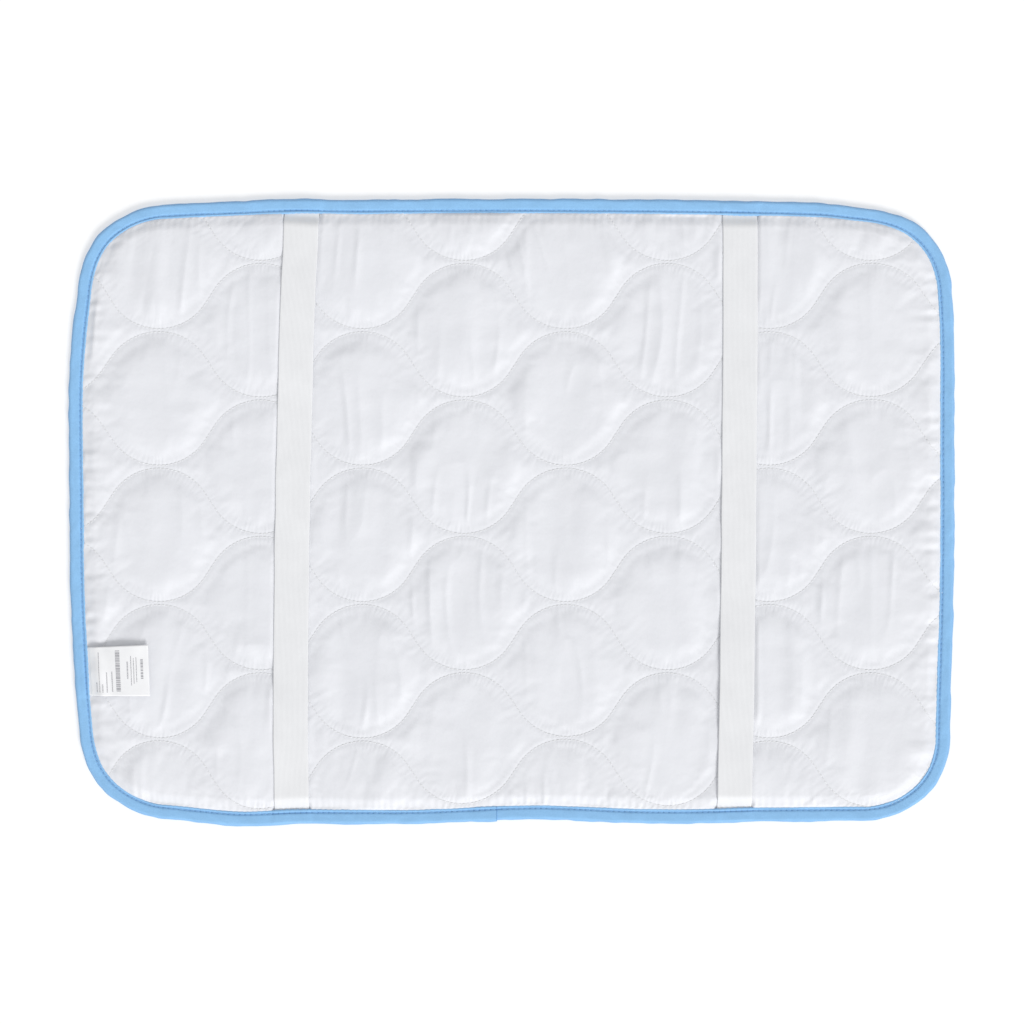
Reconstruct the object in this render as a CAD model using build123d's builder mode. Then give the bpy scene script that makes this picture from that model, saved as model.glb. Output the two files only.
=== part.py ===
"""Quilted changing pad with a bound edge and two elastic back straps.

The pad lies face down with its back up: X runs along its length, Y across its width and Z up.
The origin is under the middle of the pad, on the surface that it lies on. Left is -X, front is -Y.
The quilted layers are one piece of cloth and wadding each. They are cut here along the line where
the pad folds in half, so that each half is a rigid body.
"""

import os
from math import asin, atan, cos, degrees, sin, sqrt

from build123d import *

# Outline of the pad
pad_length = 650.0
pad_width = 460.0
end_bow = 8.0  # how far a short end bellies out between its corners
side_bow = 5.0  # how far a long side bellies out between its corners
corner_radius = 65.0

# Layers
quilt_thickness = 8.7  # face fabric, wadding and back fabric together
face_thickness = 0.5
back_thickness = 0.3
edge_slope = 9.0  # width over which the quilt thins down to the bound edge
layer_clearance = 0.1  # between the layers and the binding or what is sewn in

# Edge binding, a tape folded round the raw edge of the layers
binding_width = 11.0
tape_thickness = 0.8
bound_thickness = 5.0  # outside thickness of the bound edge
binding_roundness = 1.8  # fillet of the two outer edges
binding_stitch_inset = 2.4  # from the tape's inner edge to its row of stitches

# Threads, laid as flat ribbons: on the back, and sunk into the cloth of the face
thread_width = 0.6
thread_height = 0.4
bobbin_height = 0.25
groove_clearance = 0.1  # round the bobbin thread in its groove

# Quilting: mirrored wave rows whose crests nearly touch the troughs of the next row
quilt_period = 149.0
quilt_row_spacing = 50.0
quilt_neck = 2.2  # gap between two rows where they nearly touch
quilt_straight = 13.6  # straight run between two arcs of a row
quilt_crest_x = 39.5  # a crest of the middle row
quilt_middle_y = 8.0  # mid-height of the middle row
quilt_margin = 2.8  # bare quilt between the foot of the edge slope and the threads

# Elastic straps: the x of each centre line at the front and the rear edge
strap_width = 25.5
strap_thickness = 1.1
left_strap_x = (-161.8, -153.4)
right_strap_x = (162.5, 167.3)

# Care label, a folded tape sewn into the left end
label_width = 36.0
label_thickness = 0.5
label_length = 46.0  # from the binding to the free edge
label_from_front = 112.0  # from the front of the pad to the middle of the label

# What is sewn under the binding: straps and label
tuck_start = 2.0  # from the outer edge to the hidden raw edge
turn_up_gap = 0.8  # from the binding's inner edge to where the piece turns up
turn_up_run = 2.7  # length over which it climbs out of its pocket
climb_clearance = 0.45  # over the edge slope, where the piece has climbed out
span_gap = 0.3  # from a sewn end to the part of the strap or label that moves

# Fold across the middle
fold_gap = 0.3
fold_clearance = 0.8  # from the fold line to what stands highest on the back

# Values that follow
half_length = pad_length / 2
half_width = pad_width / 2
rim_low = tape_thickness + layer_clearance
rim_high = bound_thickness - tape_thickness - layer_clearance
field_inset = binding_width + layer_clearance
flat_inset = field_inset + edge_slope
thread_inset = flat_inset + quilt_margin
lying_height = quilt_thickness + thread_height + layer_clearance  # underside of a lying strap
above = 3 * quilt_thickness  # height that clears every layer, for cutters


def belly_radius(half_chord, bow):
    """Radius of the shallow arc that rises by bow over its two half chords."""
    return (half_chord**2 + bow**2) / (2 * bow)


end_radius = belly_radius(half_width - side_bow, end_bow)
side_radius = belly_radius(half_length - end_bow, side_bow)


def meeting_corner(inset):
    """Where a long side and a short end would meet in the first quadrant if not rounded."""
    end_centre = Vector(half_length - end_radius, 0)
    side_centre = Vector(0, half_width - side_radius)
    apart = side_centre - end_centre
    along = ((end_radius - inset) ** 2 - (side_radius - inset) ** 2) / (2 * apart.length)
    along += apart.length / 2
    across = sqrt((end_radius - inset) ** 2 - along**2)
    direction = apart.normalized()
    corner = end_centre + direction * along + direction.rotate(Axis.Z, 90) * across
    return corner.X, corner.Y


def outline(inset):
    """The pad's outline, a rectangle of four shallow arcs with rounded corners, moved inwards."""
    x, y = meeting_corner(inset)
    end_x = half_length - inset
    side_y = half_width - inset
    with BuildSketch() as shape:
        with BuildLine():
            ThreePointArc((-x, -y), (0, -side_y), (x, -y))
            ThreePointArc((x, -y), (end_x, 0), (x, y))
            ThreePointArc((x, y), (0, side_y), (-x, y))
            ThreePointArc((-x, y), (-end_x, 0), (-x, -y))
        make_face()
        fillet(shape.vertices(), corner_radius - inset)
    return shape.sketch


def prism(inset, low, high):
    """The outline moved inwards and extruded between two heights."""
    with BuildPart() as block:
        with BuildSketch(Plane.XY.offset(low)):
            add(outline(inset))
        extrude(amount=high - low)
    return block.part


def cut_half(whole, side):
    """The half of a solid on one side of the fold, -1 for left and 1 for right."""
    plane = Plane.YZ.offset(side * fold_gap / 2)
    with BuildPart() as half:
        add(whole)
        split(bisect_by=plane, keep=Keep.TOP if side > 0 else Keep.BOTTOM)
    return half.part


# ---------------------------------------------------------------- pieces sewn into the edge


def strap_plane(strap_x, end):
    """Plane at a strap's end, its X running inwards along the strap, its Y up. end is -1 or 1."""
    x = strap_x[0] if end < 0 else strap_x[1]
    other_x = strap_x[1] if end < 0 else strap_x[0]
    edge_y = half_width - side_radius + sqrt(side_radius**2 - x**2)
    inwards = Vector(other_x - x, -end * 2 * edge_y, 0).normalized()
    return Plane(
        origin=(x, end * edge_y, 0), x_dir=inwards, z_dir=inwards.cross(Vector(0, 0, 1))
    )


def label_plane():
    """Plane at the label's sewn end, its X running inwards square to the edge, its Y up."""
    y = label_from_front - half_width
    angle = asin(-y / end_radius)
    x = -(half_length - end_radius + sqrt(end_radius**2 - y**2))
    inwards = Vector(cos(angle), sin(angle), 0)
    return Plane(origin=(x, y, 0), x_dir=inwards, z_dir=inwards.cross(Vector(0, 0, 1)))


def underside(thickness):
    """Lower surface of a sewn-in piece, as points of inward distance and height."""
    tucked = rim_high - thickness
    turn = binding_width + turn_up_gap
    climb = turn + turn_up_run
    slope_height = rim_high + (climb - field_inset) * (quilt_thickness - rim_high) / edge_slope
    return [
        (tuck_start, tucked),
        (turn, tucked),
        (climb, slope_height + climb_clearance),
        (flat_inset, lying_height),
        (thread_inset + strap_width / 2, lying_height),
    ]


def sewn_end(plane, width, thickness):
    """The fixed end of a strap or label: tucked under the binding, then up the edge slope."""
    low = underside(thickness)
    high = [(distance, height + thickness) for distance, height in reversed(low)]
    # the two bends move the upper surface inwards, so that the piece keeps its thickness
    high[-2] = (high[-2][0] - thickness / 4, high[-2][1])
    with BuildPart() as end:
        with BuildSketch(plane):
            with BuildLine():
                Polyline(*low, *high, close=True)
            make_face()
        extrude(amount=width / 2, both=True)
        add(prism(thread_inset - span_gap, lying_height / 2, above), mode=Mode.SUBTRACT)
    return end.part


def pocket(plane, width, thickness, extra):
    """Room for a sewn end in the layers, deeper and wider by extra."""
    floor = [(d, h - layer_clearance - extra) for d, h in underside(thickness)[:3]]
    floor[0] = (-tuck_start, floor[0][1])
    floor[2] = (floor[2][0] + extra, floor[2][1])
    with BuildPart() as room:
        with BuildSketch(plane):
            with BuildLine():
                Polyline(*floor, (floor[2][0], above), (floor[0][0], above), close=True)
            make_face()
        extrude(amount=width / 2 + layer_clearance + extra, both=True)
    return room.part


sewn_pieces = [
    (strap_plane(left_strap_x, -1), strap_width, strap_thickness),
    (strap_plane(left_strap_x, 1), strap_width, strap_thickness),
    (strap_plane(right_strap_x, -1), strap_width, strap_thickness),
    (strap_plane(right_strap_x, 1), strap_width, strap_thickness),
    (label_plane(), label_width, label_thickness),
]


# ---------------------------------------------------------------- threads

stitch_outside = binding_width - binding_stitch_inset - thread_width / 2
stitch_inside = stitch_outside + thread_width


def binding_ribbon(low, height, margin=0):
    """The binding's row of stitches on one side of the pad, made wider and taller by margin."""
    with BuildPart() as ribbon:
        with BuildSketch(Plane.XY.offset(low)):
            add(outline(stitch_outside - margin))
            add(outline(stitch_inside + margin), mode=Mode.SUBTRACT)
        extrude(amount=height + margin)
    return ribbon.part


# A row is a zigzag with its corners rounded by arcs that leave quilt_straight between them.
half_period = quilt_period / 2
wave_rise = quilt_row_spacing - quilt_neck
wave_turn = 2 * atan(wave_rise / (half_period + quilt_straight))
wave_radius = (half_period - quilt_straight * cos(wave_turn)) / (2 * sin(wave_turn))
zigzag_height = half_period * sin(wave_turn) / cos(wave_turn) / 2
print(f"quilting wave: radius {wave_radius:.2f} mm, turn {degrees(wave_turn):.1f} degrees")


def wave_points(row):
    """Corners of a row's zigzag, enough of them to pass both ends of the pad."""
    first = -int((half_length + quilt_crest_x) / half_period) - 2
    last = int((half_length - quilt_crest_x) / half_period) + 2
    middle = quilt_middle_y + row * quilt_row_spacing
    return [
        (quilt_crest_x + n * half_period, middle + zigzag_height * (-1) ** (n + row))
        for n in range(first, last + 1)
    ]


first_row = -int((half_width + quilt_middle_y) / quilt_row_spacing)
last_row = int((half_width - quilt_middle_y) / quilt_row_spacing)

def quilting_ribbons(low, height, margin=0):
    """All the wave rows on one side of the pad, made wider and taller by margin."""
    with BuildPart() as ribbons:
        for row in range(first_row, last_row + 1):
            with BuildSketch(Plane.XY.offset(low)):
                with BuildLine() as wave:
                    FilletPolyline(*wave_points(row), radius=wave_radius)
                trace(wave.line, line_width=thread_width + 2 * margin)
            extrude(amount=height + margin)
        add(prism(thread_inset - margin, low, low + height + margin), mode=Mode.INTERSECT)
    return ribbons.part


# ---------------------------------------------------------------- quilted layers


def layer_stack(skin_below, skin_above):
    """The quilt less its skins: a thin rim, and a thick field that slopes down to the rim."""
    with BuildPart() as stack:
        with BuildSketch(Plane.XY.offset(skin_below)):
            add(outline(field_inset + skin_above))
        extrude(amount=quilt_thickness - skin_above - skin_below)
        top_edges = stack.faces().sort_by(Axis.Z)[-1].edges()
        chamfer(top_edges, length=quilt_thickness - rim_high, length2=edge_slope)
        with BuildSketch(Plane.XY.offset(rim_low + skin_below)):
            add(outline(tape_thickness + layer_clearance))
        extrude(amount=rim_high - rim_low - skin_above - skin_below)
        for plane, width, thickness in sewn_pieces:
            add(pocket(plane, width, thickness, skin_above), mode=Mode.SUBTRACT)
    return stack.part


with BuildPart() as whole_wadding:
    add(layer_stack(face_thickness, back_thickness))

rim_middle = (rim_low + rim_high) / 2 - strap_thickness / 2

with BuildPart() as whole_face_fabric:
    add(layer_stack(0, 0))
    add(whole_wadding.part, mode=Mode.SUBTRACT)
    split(bisect_by=Plane.XY.offset(rim_middle), keep=Keep.BOTTOM)
    add(quilting_ribbons(0, bobbin_height, groove_clearance), mode=Mode.SUBTRACT)

with BuildPart() as whole_back_fabric:
    add(layer_stack(0, 0))
    add(whole_wadding.part, mode=Mode.SUBTRACT)
    split(bisect_by=Plane.XY.offset(rim_middle), keep=Keep.TOP)


# ---------------------------------------------------------------- edge binding

with BuildPart() as whole_binding:
    with BuildSketch():
        add(outline(0))
    extrude(amount=bound_thickness)
    outer_edges = whole_binding.edges().filter_by_position(Axis.Z, 0, 0)
    outer_edges += whole_binding.edges().filter_by_position(Axis.Z, bound_thickness, bound_thickness)
    fillet(outer_edges, binding_roundness)
    add(prism(tape_thickness, tape_thickness, bound_thickness - tape_thickness), mode=Mode.SUBTRACT)
    add(prism(binding_width, 0, bound_thickness), mode=Mode.SUBTRACT)
    add(binding_ribbon(0, bobbin_height, groove_clearance), mode=Mode.SUBTRACT)


# ---------------------------------------------------------------- straps and label


def lying_piece(plane, length, width, thickness):
    """The free part of a strap or label, clear of its sewn end and lying on the quilting."""
    with BuildPart() as piece:
        with BuildSketch(Plane(origin=plane.origin, x_dir=plane.x_dir, z_dir=(0, 0, 1))):
            Rectangle(length, width, align=(Align.MIN, Align.CENTER))
        extrude(amount=lying_height + thickness)
        add(prism(thread_inset, lying_height, above), mode=Mode.INTERSECT)
    return piece.part


# ---------------------------------------------------------------- write the sub-parts

os.makedirs("parts", exist_ok=True)


def write(part, name):
    part.label = name
    export_step(part, f"parts/{name}.step")


pieces_cut_by_fold = {
    "face_fabric": whole_face_fabric.part,
    "wadding": whole_wadding.part,
    "back_fabric": whole_back_fabric.part,
    "edge_binding": whole_binding.part,
    "binding_stitching": binding_ribbon(bound_thickness, thread_height),
    "binding_bobbin_thread": binding_ribbon(0, bobbin_height),
    "quilting_thread": quilting_ribbons(quilt_thickness, thread_height),
    "quilting_bobbin_thread": quilting_ribbons(0, bobbin_height),
}

for name, whole in pieces_cut_by_fold.items():
    write(cut_half(whole, -1), f"{name}_left")
    write(cut_half(whole, 1), f"{name}_right")

for side_name, strap_x in (("left", left_strap_x), ("right", right_strap_x)):
    front = strap_plane(strap_x, -1)
    rear = strap_plane(strap_x, 1)
    write(sewn_end(front, strap_width, strap_thickness), f"{side_name}_strap_front_end")
    write(sewn_end(rear, strap_width, strap_thickness), f"{side_name}_strap_rear_end")
    span = lying_piece(front, 2 * pad_width, strap_width, strap_thickness)
    write(span, f"{side_name}_strap_span")

label_end = label_plane()
free_edge = binding_width + label_length
write(sewn_end(label_end, label_width, label_thickness), "care_label_sewn_end")
write(lying_piece(label_end, free_edge, label_width, label_thickness), "care_label")

# ---------------------------------------------------------------- joint lines, for the record

fold_height = lying_height + strap_thickness + fold_clearance
label_hinge_height = lying_height + label_thickness + fold_clearance / 4
label_hinge = label_end.from_local_coords((thread_inset, label_hinge_height, 0))
print(f"pad fold: along Y through x 0, z {fold_height:.2f} mm")
print(f"care label: through {label_hinge}, along {-label_end.z_dir}")
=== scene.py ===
"""A quilted changing pad, lying face down: the looks of its cloth, binding, straps and label.

The frame holds the pad's design. Its outline and straps are read from there, and every
surface here is worked out from a few sizes: a height over a grid, or a profile along a path.
"""

import bpy
import numpy as np
from bpy.props import FloatProperty, FloatVectorProperty, PointerProperty
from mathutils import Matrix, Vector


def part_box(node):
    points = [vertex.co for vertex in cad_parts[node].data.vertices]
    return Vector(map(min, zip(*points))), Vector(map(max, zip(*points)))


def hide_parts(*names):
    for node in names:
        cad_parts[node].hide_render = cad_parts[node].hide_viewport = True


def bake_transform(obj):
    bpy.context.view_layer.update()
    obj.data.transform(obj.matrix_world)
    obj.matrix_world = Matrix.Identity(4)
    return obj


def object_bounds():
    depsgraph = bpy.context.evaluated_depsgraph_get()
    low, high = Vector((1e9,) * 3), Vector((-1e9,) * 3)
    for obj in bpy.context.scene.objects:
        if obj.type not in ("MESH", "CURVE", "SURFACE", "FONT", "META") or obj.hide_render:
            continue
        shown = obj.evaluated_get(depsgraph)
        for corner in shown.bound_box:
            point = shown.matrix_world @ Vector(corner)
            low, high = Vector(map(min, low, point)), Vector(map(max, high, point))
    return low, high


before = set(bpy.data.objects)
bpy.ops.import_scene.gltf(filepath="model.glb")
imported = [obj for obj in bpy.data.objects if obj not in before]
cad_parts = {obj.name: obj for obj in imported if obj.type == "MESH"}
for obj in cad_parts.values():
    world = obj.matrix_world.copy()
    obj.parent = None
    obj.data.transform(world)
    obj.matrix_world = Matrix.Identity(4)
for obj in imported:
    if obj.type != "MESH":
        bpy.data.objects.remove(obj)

bl_info = {
    "name": "Quilted Changing Pad",
    "version": (1, 0, 0),
    "blender": (4, 5, 0),
    "location": "View3D > Sidebar > Changing Pad",
    "description": "Builds the cloth, binding, stitches, straps and label of a quilted pad",
    "category": "Add Mesh",
}

MM = 0.001
CAD_LOW, CAD_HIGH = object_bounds()

BACK_RIM = 4.35 * MM  # height of the back cloth beside the binding
BACK_TUCKED = 4.05 * MM  # height of the cloth and of the straps' tops inside the binding
FACE_RIM = 0.95 * MM  # height of the face cloth beside the binding
LOWEST = 0.05 * MM  # the face cloth's height where it rests on the floor
TAPE_DROP = 0.42 * MM  # from the binding's full thickness down to the tape beside its stitches
INNER_MAP = 30 * MM  # added to the map of the tape's hidden inner surface, which has no stitches


# ---------------------------------------------------------------- sizes and colours


def length(name, description, default):
    """A length that can be set in the sidebar, in metres."""
    return FloatProperty(
        name=name, description=description, default=default, unit="LENGTH", precision=5
    )


def colour(name, description, default):
    """A colour that can be set in the sidebar, as linear red, green and blue."""
    return FloatVectorProperty(
        name=name, description=description, default=default, subtype="COLOR", size=3, min=0, max=1
    )


class OutlineSizes(bpy.types.PropertyGroup):
    """Sizes of the outline."""

    end_bow: length("End Bow", "How far a short end bellies out", 8 * MM)
    side_bow: length("Side Bow", "How far a long side bellies out", 5 * MM)
    corner_radius: length("Corner Radius", "Radius of the rounded corners", 65 * MM)


class QuiltSizes(bpy.types.PropertyGroup):
    """Sizes and colours of the quilted layers."""

    period: length("Wave Length", "Length of one quilting wave", 149 * MM)
    spacing: length("Row Spacing", "Distance between the rows", 50 * MM)
    neck: length("Neck", "Gap between a crest and the next row's trough", 2.2 * MM)
    straight: length("Straight Run", "Straight run between two arcs of a row", 13.6 * MM)
    crest_x: length("Crest", "Where a crest of the middle row is", 39.5 * MM)
    middle_y: length("Middle Row", "Mid-height of the middle row", 8 * MM)
    stitch: length("Stitch Length", "Length of one quilting stitch", 3 * MM)
    back_valley: length("Back Valley", "Height of the back cloth at the stitches", 6.0 * MM)
    face_valley: length("Face Valley", "Height of the face cloth at the stitches", 3.3 * MM)
    back_puff: length("Back Puff", "How far the back puffs up between the rows", 1.7 * MM)
    step: length("Grid Step", "Distance between points of the cloth", 1.15 * MM)
    back_colour: colour("Back Colour", "Colour of the back cloth", (0.80, 0.81, 0.848))
    face_colour: colour("Face Colour", "Colour of the face cloth", (0.84, 0.84, 0.85))
    thread_colour: colour("Thread Colour", "Colour of the quilting thread", (0.94, 0.945, 0.95))


class BindingSizes(bpy.types.PropertyGroup):
    """Sizes and colours of the bound edge."""

    width: length("Binding Width", "Width of the bound edge", 11 * MM)
    thickness: length("Binding Thickness", "Outside thickness of the bound edge", 5 * MM)
    stitch_inset: length("Stitch Inset", "From the tape's inner edge to its stitches", 2.4 * MM)
    stitch: length("Stitch Length", "Length of one binding stitch", 4.1 * MM)
    colour: colour("Tape Colour", "Colour of the binding tape", (0.31, 0.60, 0.94))
    thread_colour: colour("Thread Colour", "Colour of the binding thread", (0.33, 0.61, 0.93))


class StrapSizes(bpy.types.PropertyGroup):
    """Sizes and colour of the elastic straps."""

    width: length("Strap Width", "Width of the elastic", 25.5 * MM)
    thickness: length("Strap Thickness", "Thickness of the elastic", 1.1 * MM)
    rib: length("Rib Pitch", "Distance between two ribs of the elastic", 0.9 * MM)
    left_bow: length("Left Bow", "How far the left strap wanders off its line", -3.2 * MM)
    right_bow: length("Right Bow", "How far the right strap wanders off its line", 1.3 * MM)
    colour: colour("Elastic Colour", "Colour of the elastic", (0.848, 0.855, 0.871))


class LabelSizes(bpy.types.PropertyGroup):
    """Sizes and colours of the care label."""

    width: length("Label Width", "Width of the label tape", 36 * MM)
    length: length("Label Length", "From the binding to the folded end", 46 * MM)
    from_front: length("From Front", "From the pad's front to the label's middle", 112 * MM)
    colour: colour("Label Colour", "Colour of the label tape", (0.93, 0.935, 0.95))
    print_colour: colour("Print Colour", "Colour of the printed bars", (0.27, 0.27, 0.30))


class StageSizes(bpy.types.PropertyGroup):
    """The camera and the floor."""

    view_width: length("View Width", "Width that the camera sees", 751 * MM)
    lens: FloatProperty(name="Lens", description="Focal length in millimetres", default=90)
    floor_colour: colour("Floor Colour", "Colour of the floor", (0.60, 0.60, 0.603))


class PadSettings(bpy.types.PropertyGroup):
    """All the settings that the sidebar shows."""

    outline: PointerProperty(type=OutlineSizes)
    quilt: PointerProperty(type=QuiltSizes)
    binding: PointerProperty(type=BindingSizes)
    strap: PointerProperty(type=StrapSizes)
    label: PointerProperty(type=LabelSizes)
    stage: PointerProperty(type=StageSizes)


# ---------------------------------------------------------------- shared sums


def ease(t):
    """0 below 0, 1 above 1, and 3tt - 2ttt in between."""
    t = np.clip(t, 0, 1)
    return t * t * (3 - 2 * t)


def bell(t):
    """exp(-tt), a bump of height 1 that has died away by 2."""
    return np.exp(-t * t)


def noise(x, y, cell, seed):
    """Smooth noise from -1 to 1: random values on a square lattice, eased from one to the next."""
    table = np.random.default_rng(seed).uniform(-1, 1, (97, 97))
    x, y = np.broadcast_arrays(x / cell, y / cell)
    column, row = np.floor(x).astype(int), np.floor(y).astype(int)
    across, up = ease(x - column), ease(y - row)
    corner = [[table[(row + j) % 97, (column + i) % 97] for i in (0, 1)] for j in (0, 1)]
    low = corner[0][0] * (1 - across) + corner[0][1] * across
    high = corner[1][0] * (1 - across) + corner[1][1] * across
    return low * (1 - up) + high * up


def blur(values, reach, axis):
    """The running mean of an array over reach places each way, along one axis."""
    total = np.zeros_like(values)
    size = values.shape[axis]
    for shift in range(-reach, reach + 1):
        total += np.take(values, np.clip(np.arange(size) + shift, 0, size - 1), axis=axis)
    return total / (2 * reach + 1)


def lowest_near(values, reach, axes=(0, 1)):
    """The lowest value within reach places each way, along some axes of an array."""
    for axis in axes:
        size = values.shape[axis]
        shifted = [
            np.take(values, np.clip(np.arange(size) + shift, 0, size - 1), axis=axis)
            for shift in range(-reach, reach + 1)
        ]
        values = np.minimum.reduce(shifted)
    return values


# ---------------------------------------------------------------- outline


class Outline:
    """The pad's outline: two end arcs and two side arcs that bow outwards, joined at round corners.

    Every arc keeps its centre when the outline moves inwards. So the outline is a function of the
    direction a that its edge faces: centre + (radius - inset) * (cos a, sin a).
    """

    def __init__(self, sizes):
        self.half_length = (CAD_HIGH.x - CAD_LOW.x) / 2
        self.half_width = (CAD_HIGH.y - CAD_LOW.y) / 2
        half_end = self.half_width - sizes.side_bow
        half_side = self.half_length - sizes.end_bow
        self.end_radius = (half_end**2 + sizes.end_bow**2) / (2 * sizes.end_bow)
        self.side_radius = (half_side**2 + sizes.side_bow**2) / (2 * sizes.side_bow)
        self.corner_radius = sizes.corner_radius
        self.end_x = self.half_length - self.end_radius
        self.side_y = self.half_width - self.side_radius
        # the corner's centre is where the end and the side meet once moved in by its radius
        apart = np.array((-self.end_x, self.side_y))
        distance = np.hypot(*apart)
        end, side = self.end_radius - self.corner_radius, self.side_radius - self.corner_radius
        along = (end**2 - side**2 + distance**2) / (2 * distance)
        across = np.sqrt(end**2 - along**2)
        toward = apart / distance
        self.corner_x = self.end_x + toward[0] * along - toward[1] * across
        self.corner_y = toward[1] * along + toward[0] * across
        self.end_angle = np.arctan2(self.corner_y, self.corner_x - self.end_x)
        self.side_angle = np.arctan2(self.corner_y - self.side_y, self.corner_x)
        a, b, pi = self.end_angle, self.side_angle, np.pi
        turns = [-a, a, b, pi - b, pi - a, pi + a, pi + b, 2 * pi - b, 2 * pi - a]
        radii = [self.end_radius, self.corner_radius, self.side_radius, self.corner_radius] * 2
        self.turns = np.array(turns)
        self.runs = np.concatenate(([0], np.cumsum(np.diff(turns) * radii)))
        self.perimeter = self.runs[-1]

    def point(self, angle, inset):
        """Points of the outline whose edge faces angle, moved in by inset, as x and y."""
        folded = np.arctan2(np.abs(np.sin(angle)), np.abs(np.cos(angle)))
        on_end, on_side = folded < self.end_angle, folded > self.side_angle
        x = np.where(on_end, self.end_x, np.where(on_side, 0, self.corner_x))
        y = np.where(on_end, 0, np.where(on_side, self.side_y, self.corner_y))
        radius = np.where(
            on_end, self.end_radius, np.where(on_side, self.side_radius, self.corner_radius)
        )
        x = x + (radius - inset) * np.cos(folded)
        y = y + (radius - inset) * np.sin(folded)
        return x * np.sign(np.cos(angle)), y * np.sign(np.sin(angle))

    def facing(self, run):
        """The direction that the edge faces after a run along it, from the right end's front."""
        lap = np.floor(run / self.perimeter)
        return np.interp(run - lap * self.perimeter, self.runs, self.turns) + lap * 2 * np.pi

    def run_at(self, angle):
        """The run along the edge at which it faces angle."""
        return np.interp(angle, self.turns, self.runs)

    def depth(self, x, y):
        """Distance of points from the outline, positive inside."""
        x, y = np.abs(x), np.abs(y)
        end = self.end_radius - np.hypot(x - self.end_x, y)
        side = self.side_radius - np.hypot(x, y - self.side_y)
        corner = self.corner_radius - np.hypot(x - self.corner_x, y - self.corner_y)
        facing = np.arctan2(y - self.corner_y, x - self.corner_x)
        in_corner = (facing > self.end_angle) & (facing < self.side_angle)
        in_corner &= (x > self.corner_x) | (y > self.corner_y)
        return np.where(in_corner, corner, np.minimum(end, side))

    def grid(self, inset, step, finer=1):
        """A grid of x and y that fills the outline moved in by inset.

        Its rows run along the pad, evenly up the ends and closer together up the corners, so that
        they divide the edge evenly. A row is as long as the outline is wide there, and is bowed
        as the long side is, in the share that its height is of the side's.
        """
        a, b = self.end_angle, self.side_angle
        end_top = (self.end_radius - inset) * np.sin(a)
        up_end = int(round(end_top / step)) * finer
        up_corner = int(round((b - a) * (self.corner_radius - inset) / step)) * finer
        low = np.linspace(0, end_top, up_end + 1)
        low_reach = self.end_x + np.sqrt((self.end_radius - inset) ** 2 - low**2)
        turn = np.linspace(a, b, up_corner + 1)[1:]
        high = self.corner_y + (self.corner_radius - inset) * np.sin(turn)
        high_reach = self.corner_x + (self.corner_radius - inset) * np.cos(turn)
        height = np.concatenate((low, high))
        reach = np.concatenate((low_reach, high_reach))
        height = np.concatenate((-height[:0:-1], height))[:, None]
        reach = np.concatenate((reach[:0:-1], reach))[:, None]
        columns = int(round(self.half_length / step)) * finer
        x = reach * np.linspace(-1, 1, 2 * columns + 1)[None, :]
        side = self.side_radius - inset
        bowed_x = np.minimum(np.abs(x), side * np.cos(b))
        bowed = self.side_y + np.sqrt(side**2 - bowed_x**2)
        return x, height * bowed / height.max()


def settle(points, outline):
    """Moves points as the cloth's edge wanders: each line below pushes the cloth near one place."""
    pushes = (  # share of the half length and half width, push outwards, reach
        (0.05, -1.0, -4.1, 62),
        (0.56, -1.0, -0.8, 40),
        (0.96, -0.86, 2.4, 45),
        (0.99, 0.60, 2.9, 62),
        (0.82, 0.99, -4.4, 28),
        (-0.50, 1.0, 1.4, 30),
        (-0.86, 1.0, -2.3, 33),
        (-1.0, 0.76, -2.8, 32),
        (-1.0, 0.40, 2.0, 50),
        (-1.0, -0.55, -1.4, 48),
        (-1.0, -0.78, -3.4, 36),
        (-0.88, -1.0, -3.8, 36),
        (-0.61, -1.0, 2.8, 32),
    )
    points = np.array(points, float)
    moved = points.copy()
    for along, up, push, reach in pushes:
        x, y = along * outline.half_length, up * outline.half_width
        facing = np.arctan2(y * outline.half_length, x * outline.half_width)
        share = bell(np.hypot(points[..., 0] - x, points[..., 1] - y) / (reach * MM)) * push * MM
        moved[..., 0] += share * (np.cos(facing) if abs(along) > 0.8 else 0)
        moved[..., 1] += share * (np.sin(facing) if abs(along) > 0.8 else np.sign(up))
    return moved


# ---------------------------------------------------------------- quilting rows


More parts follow.
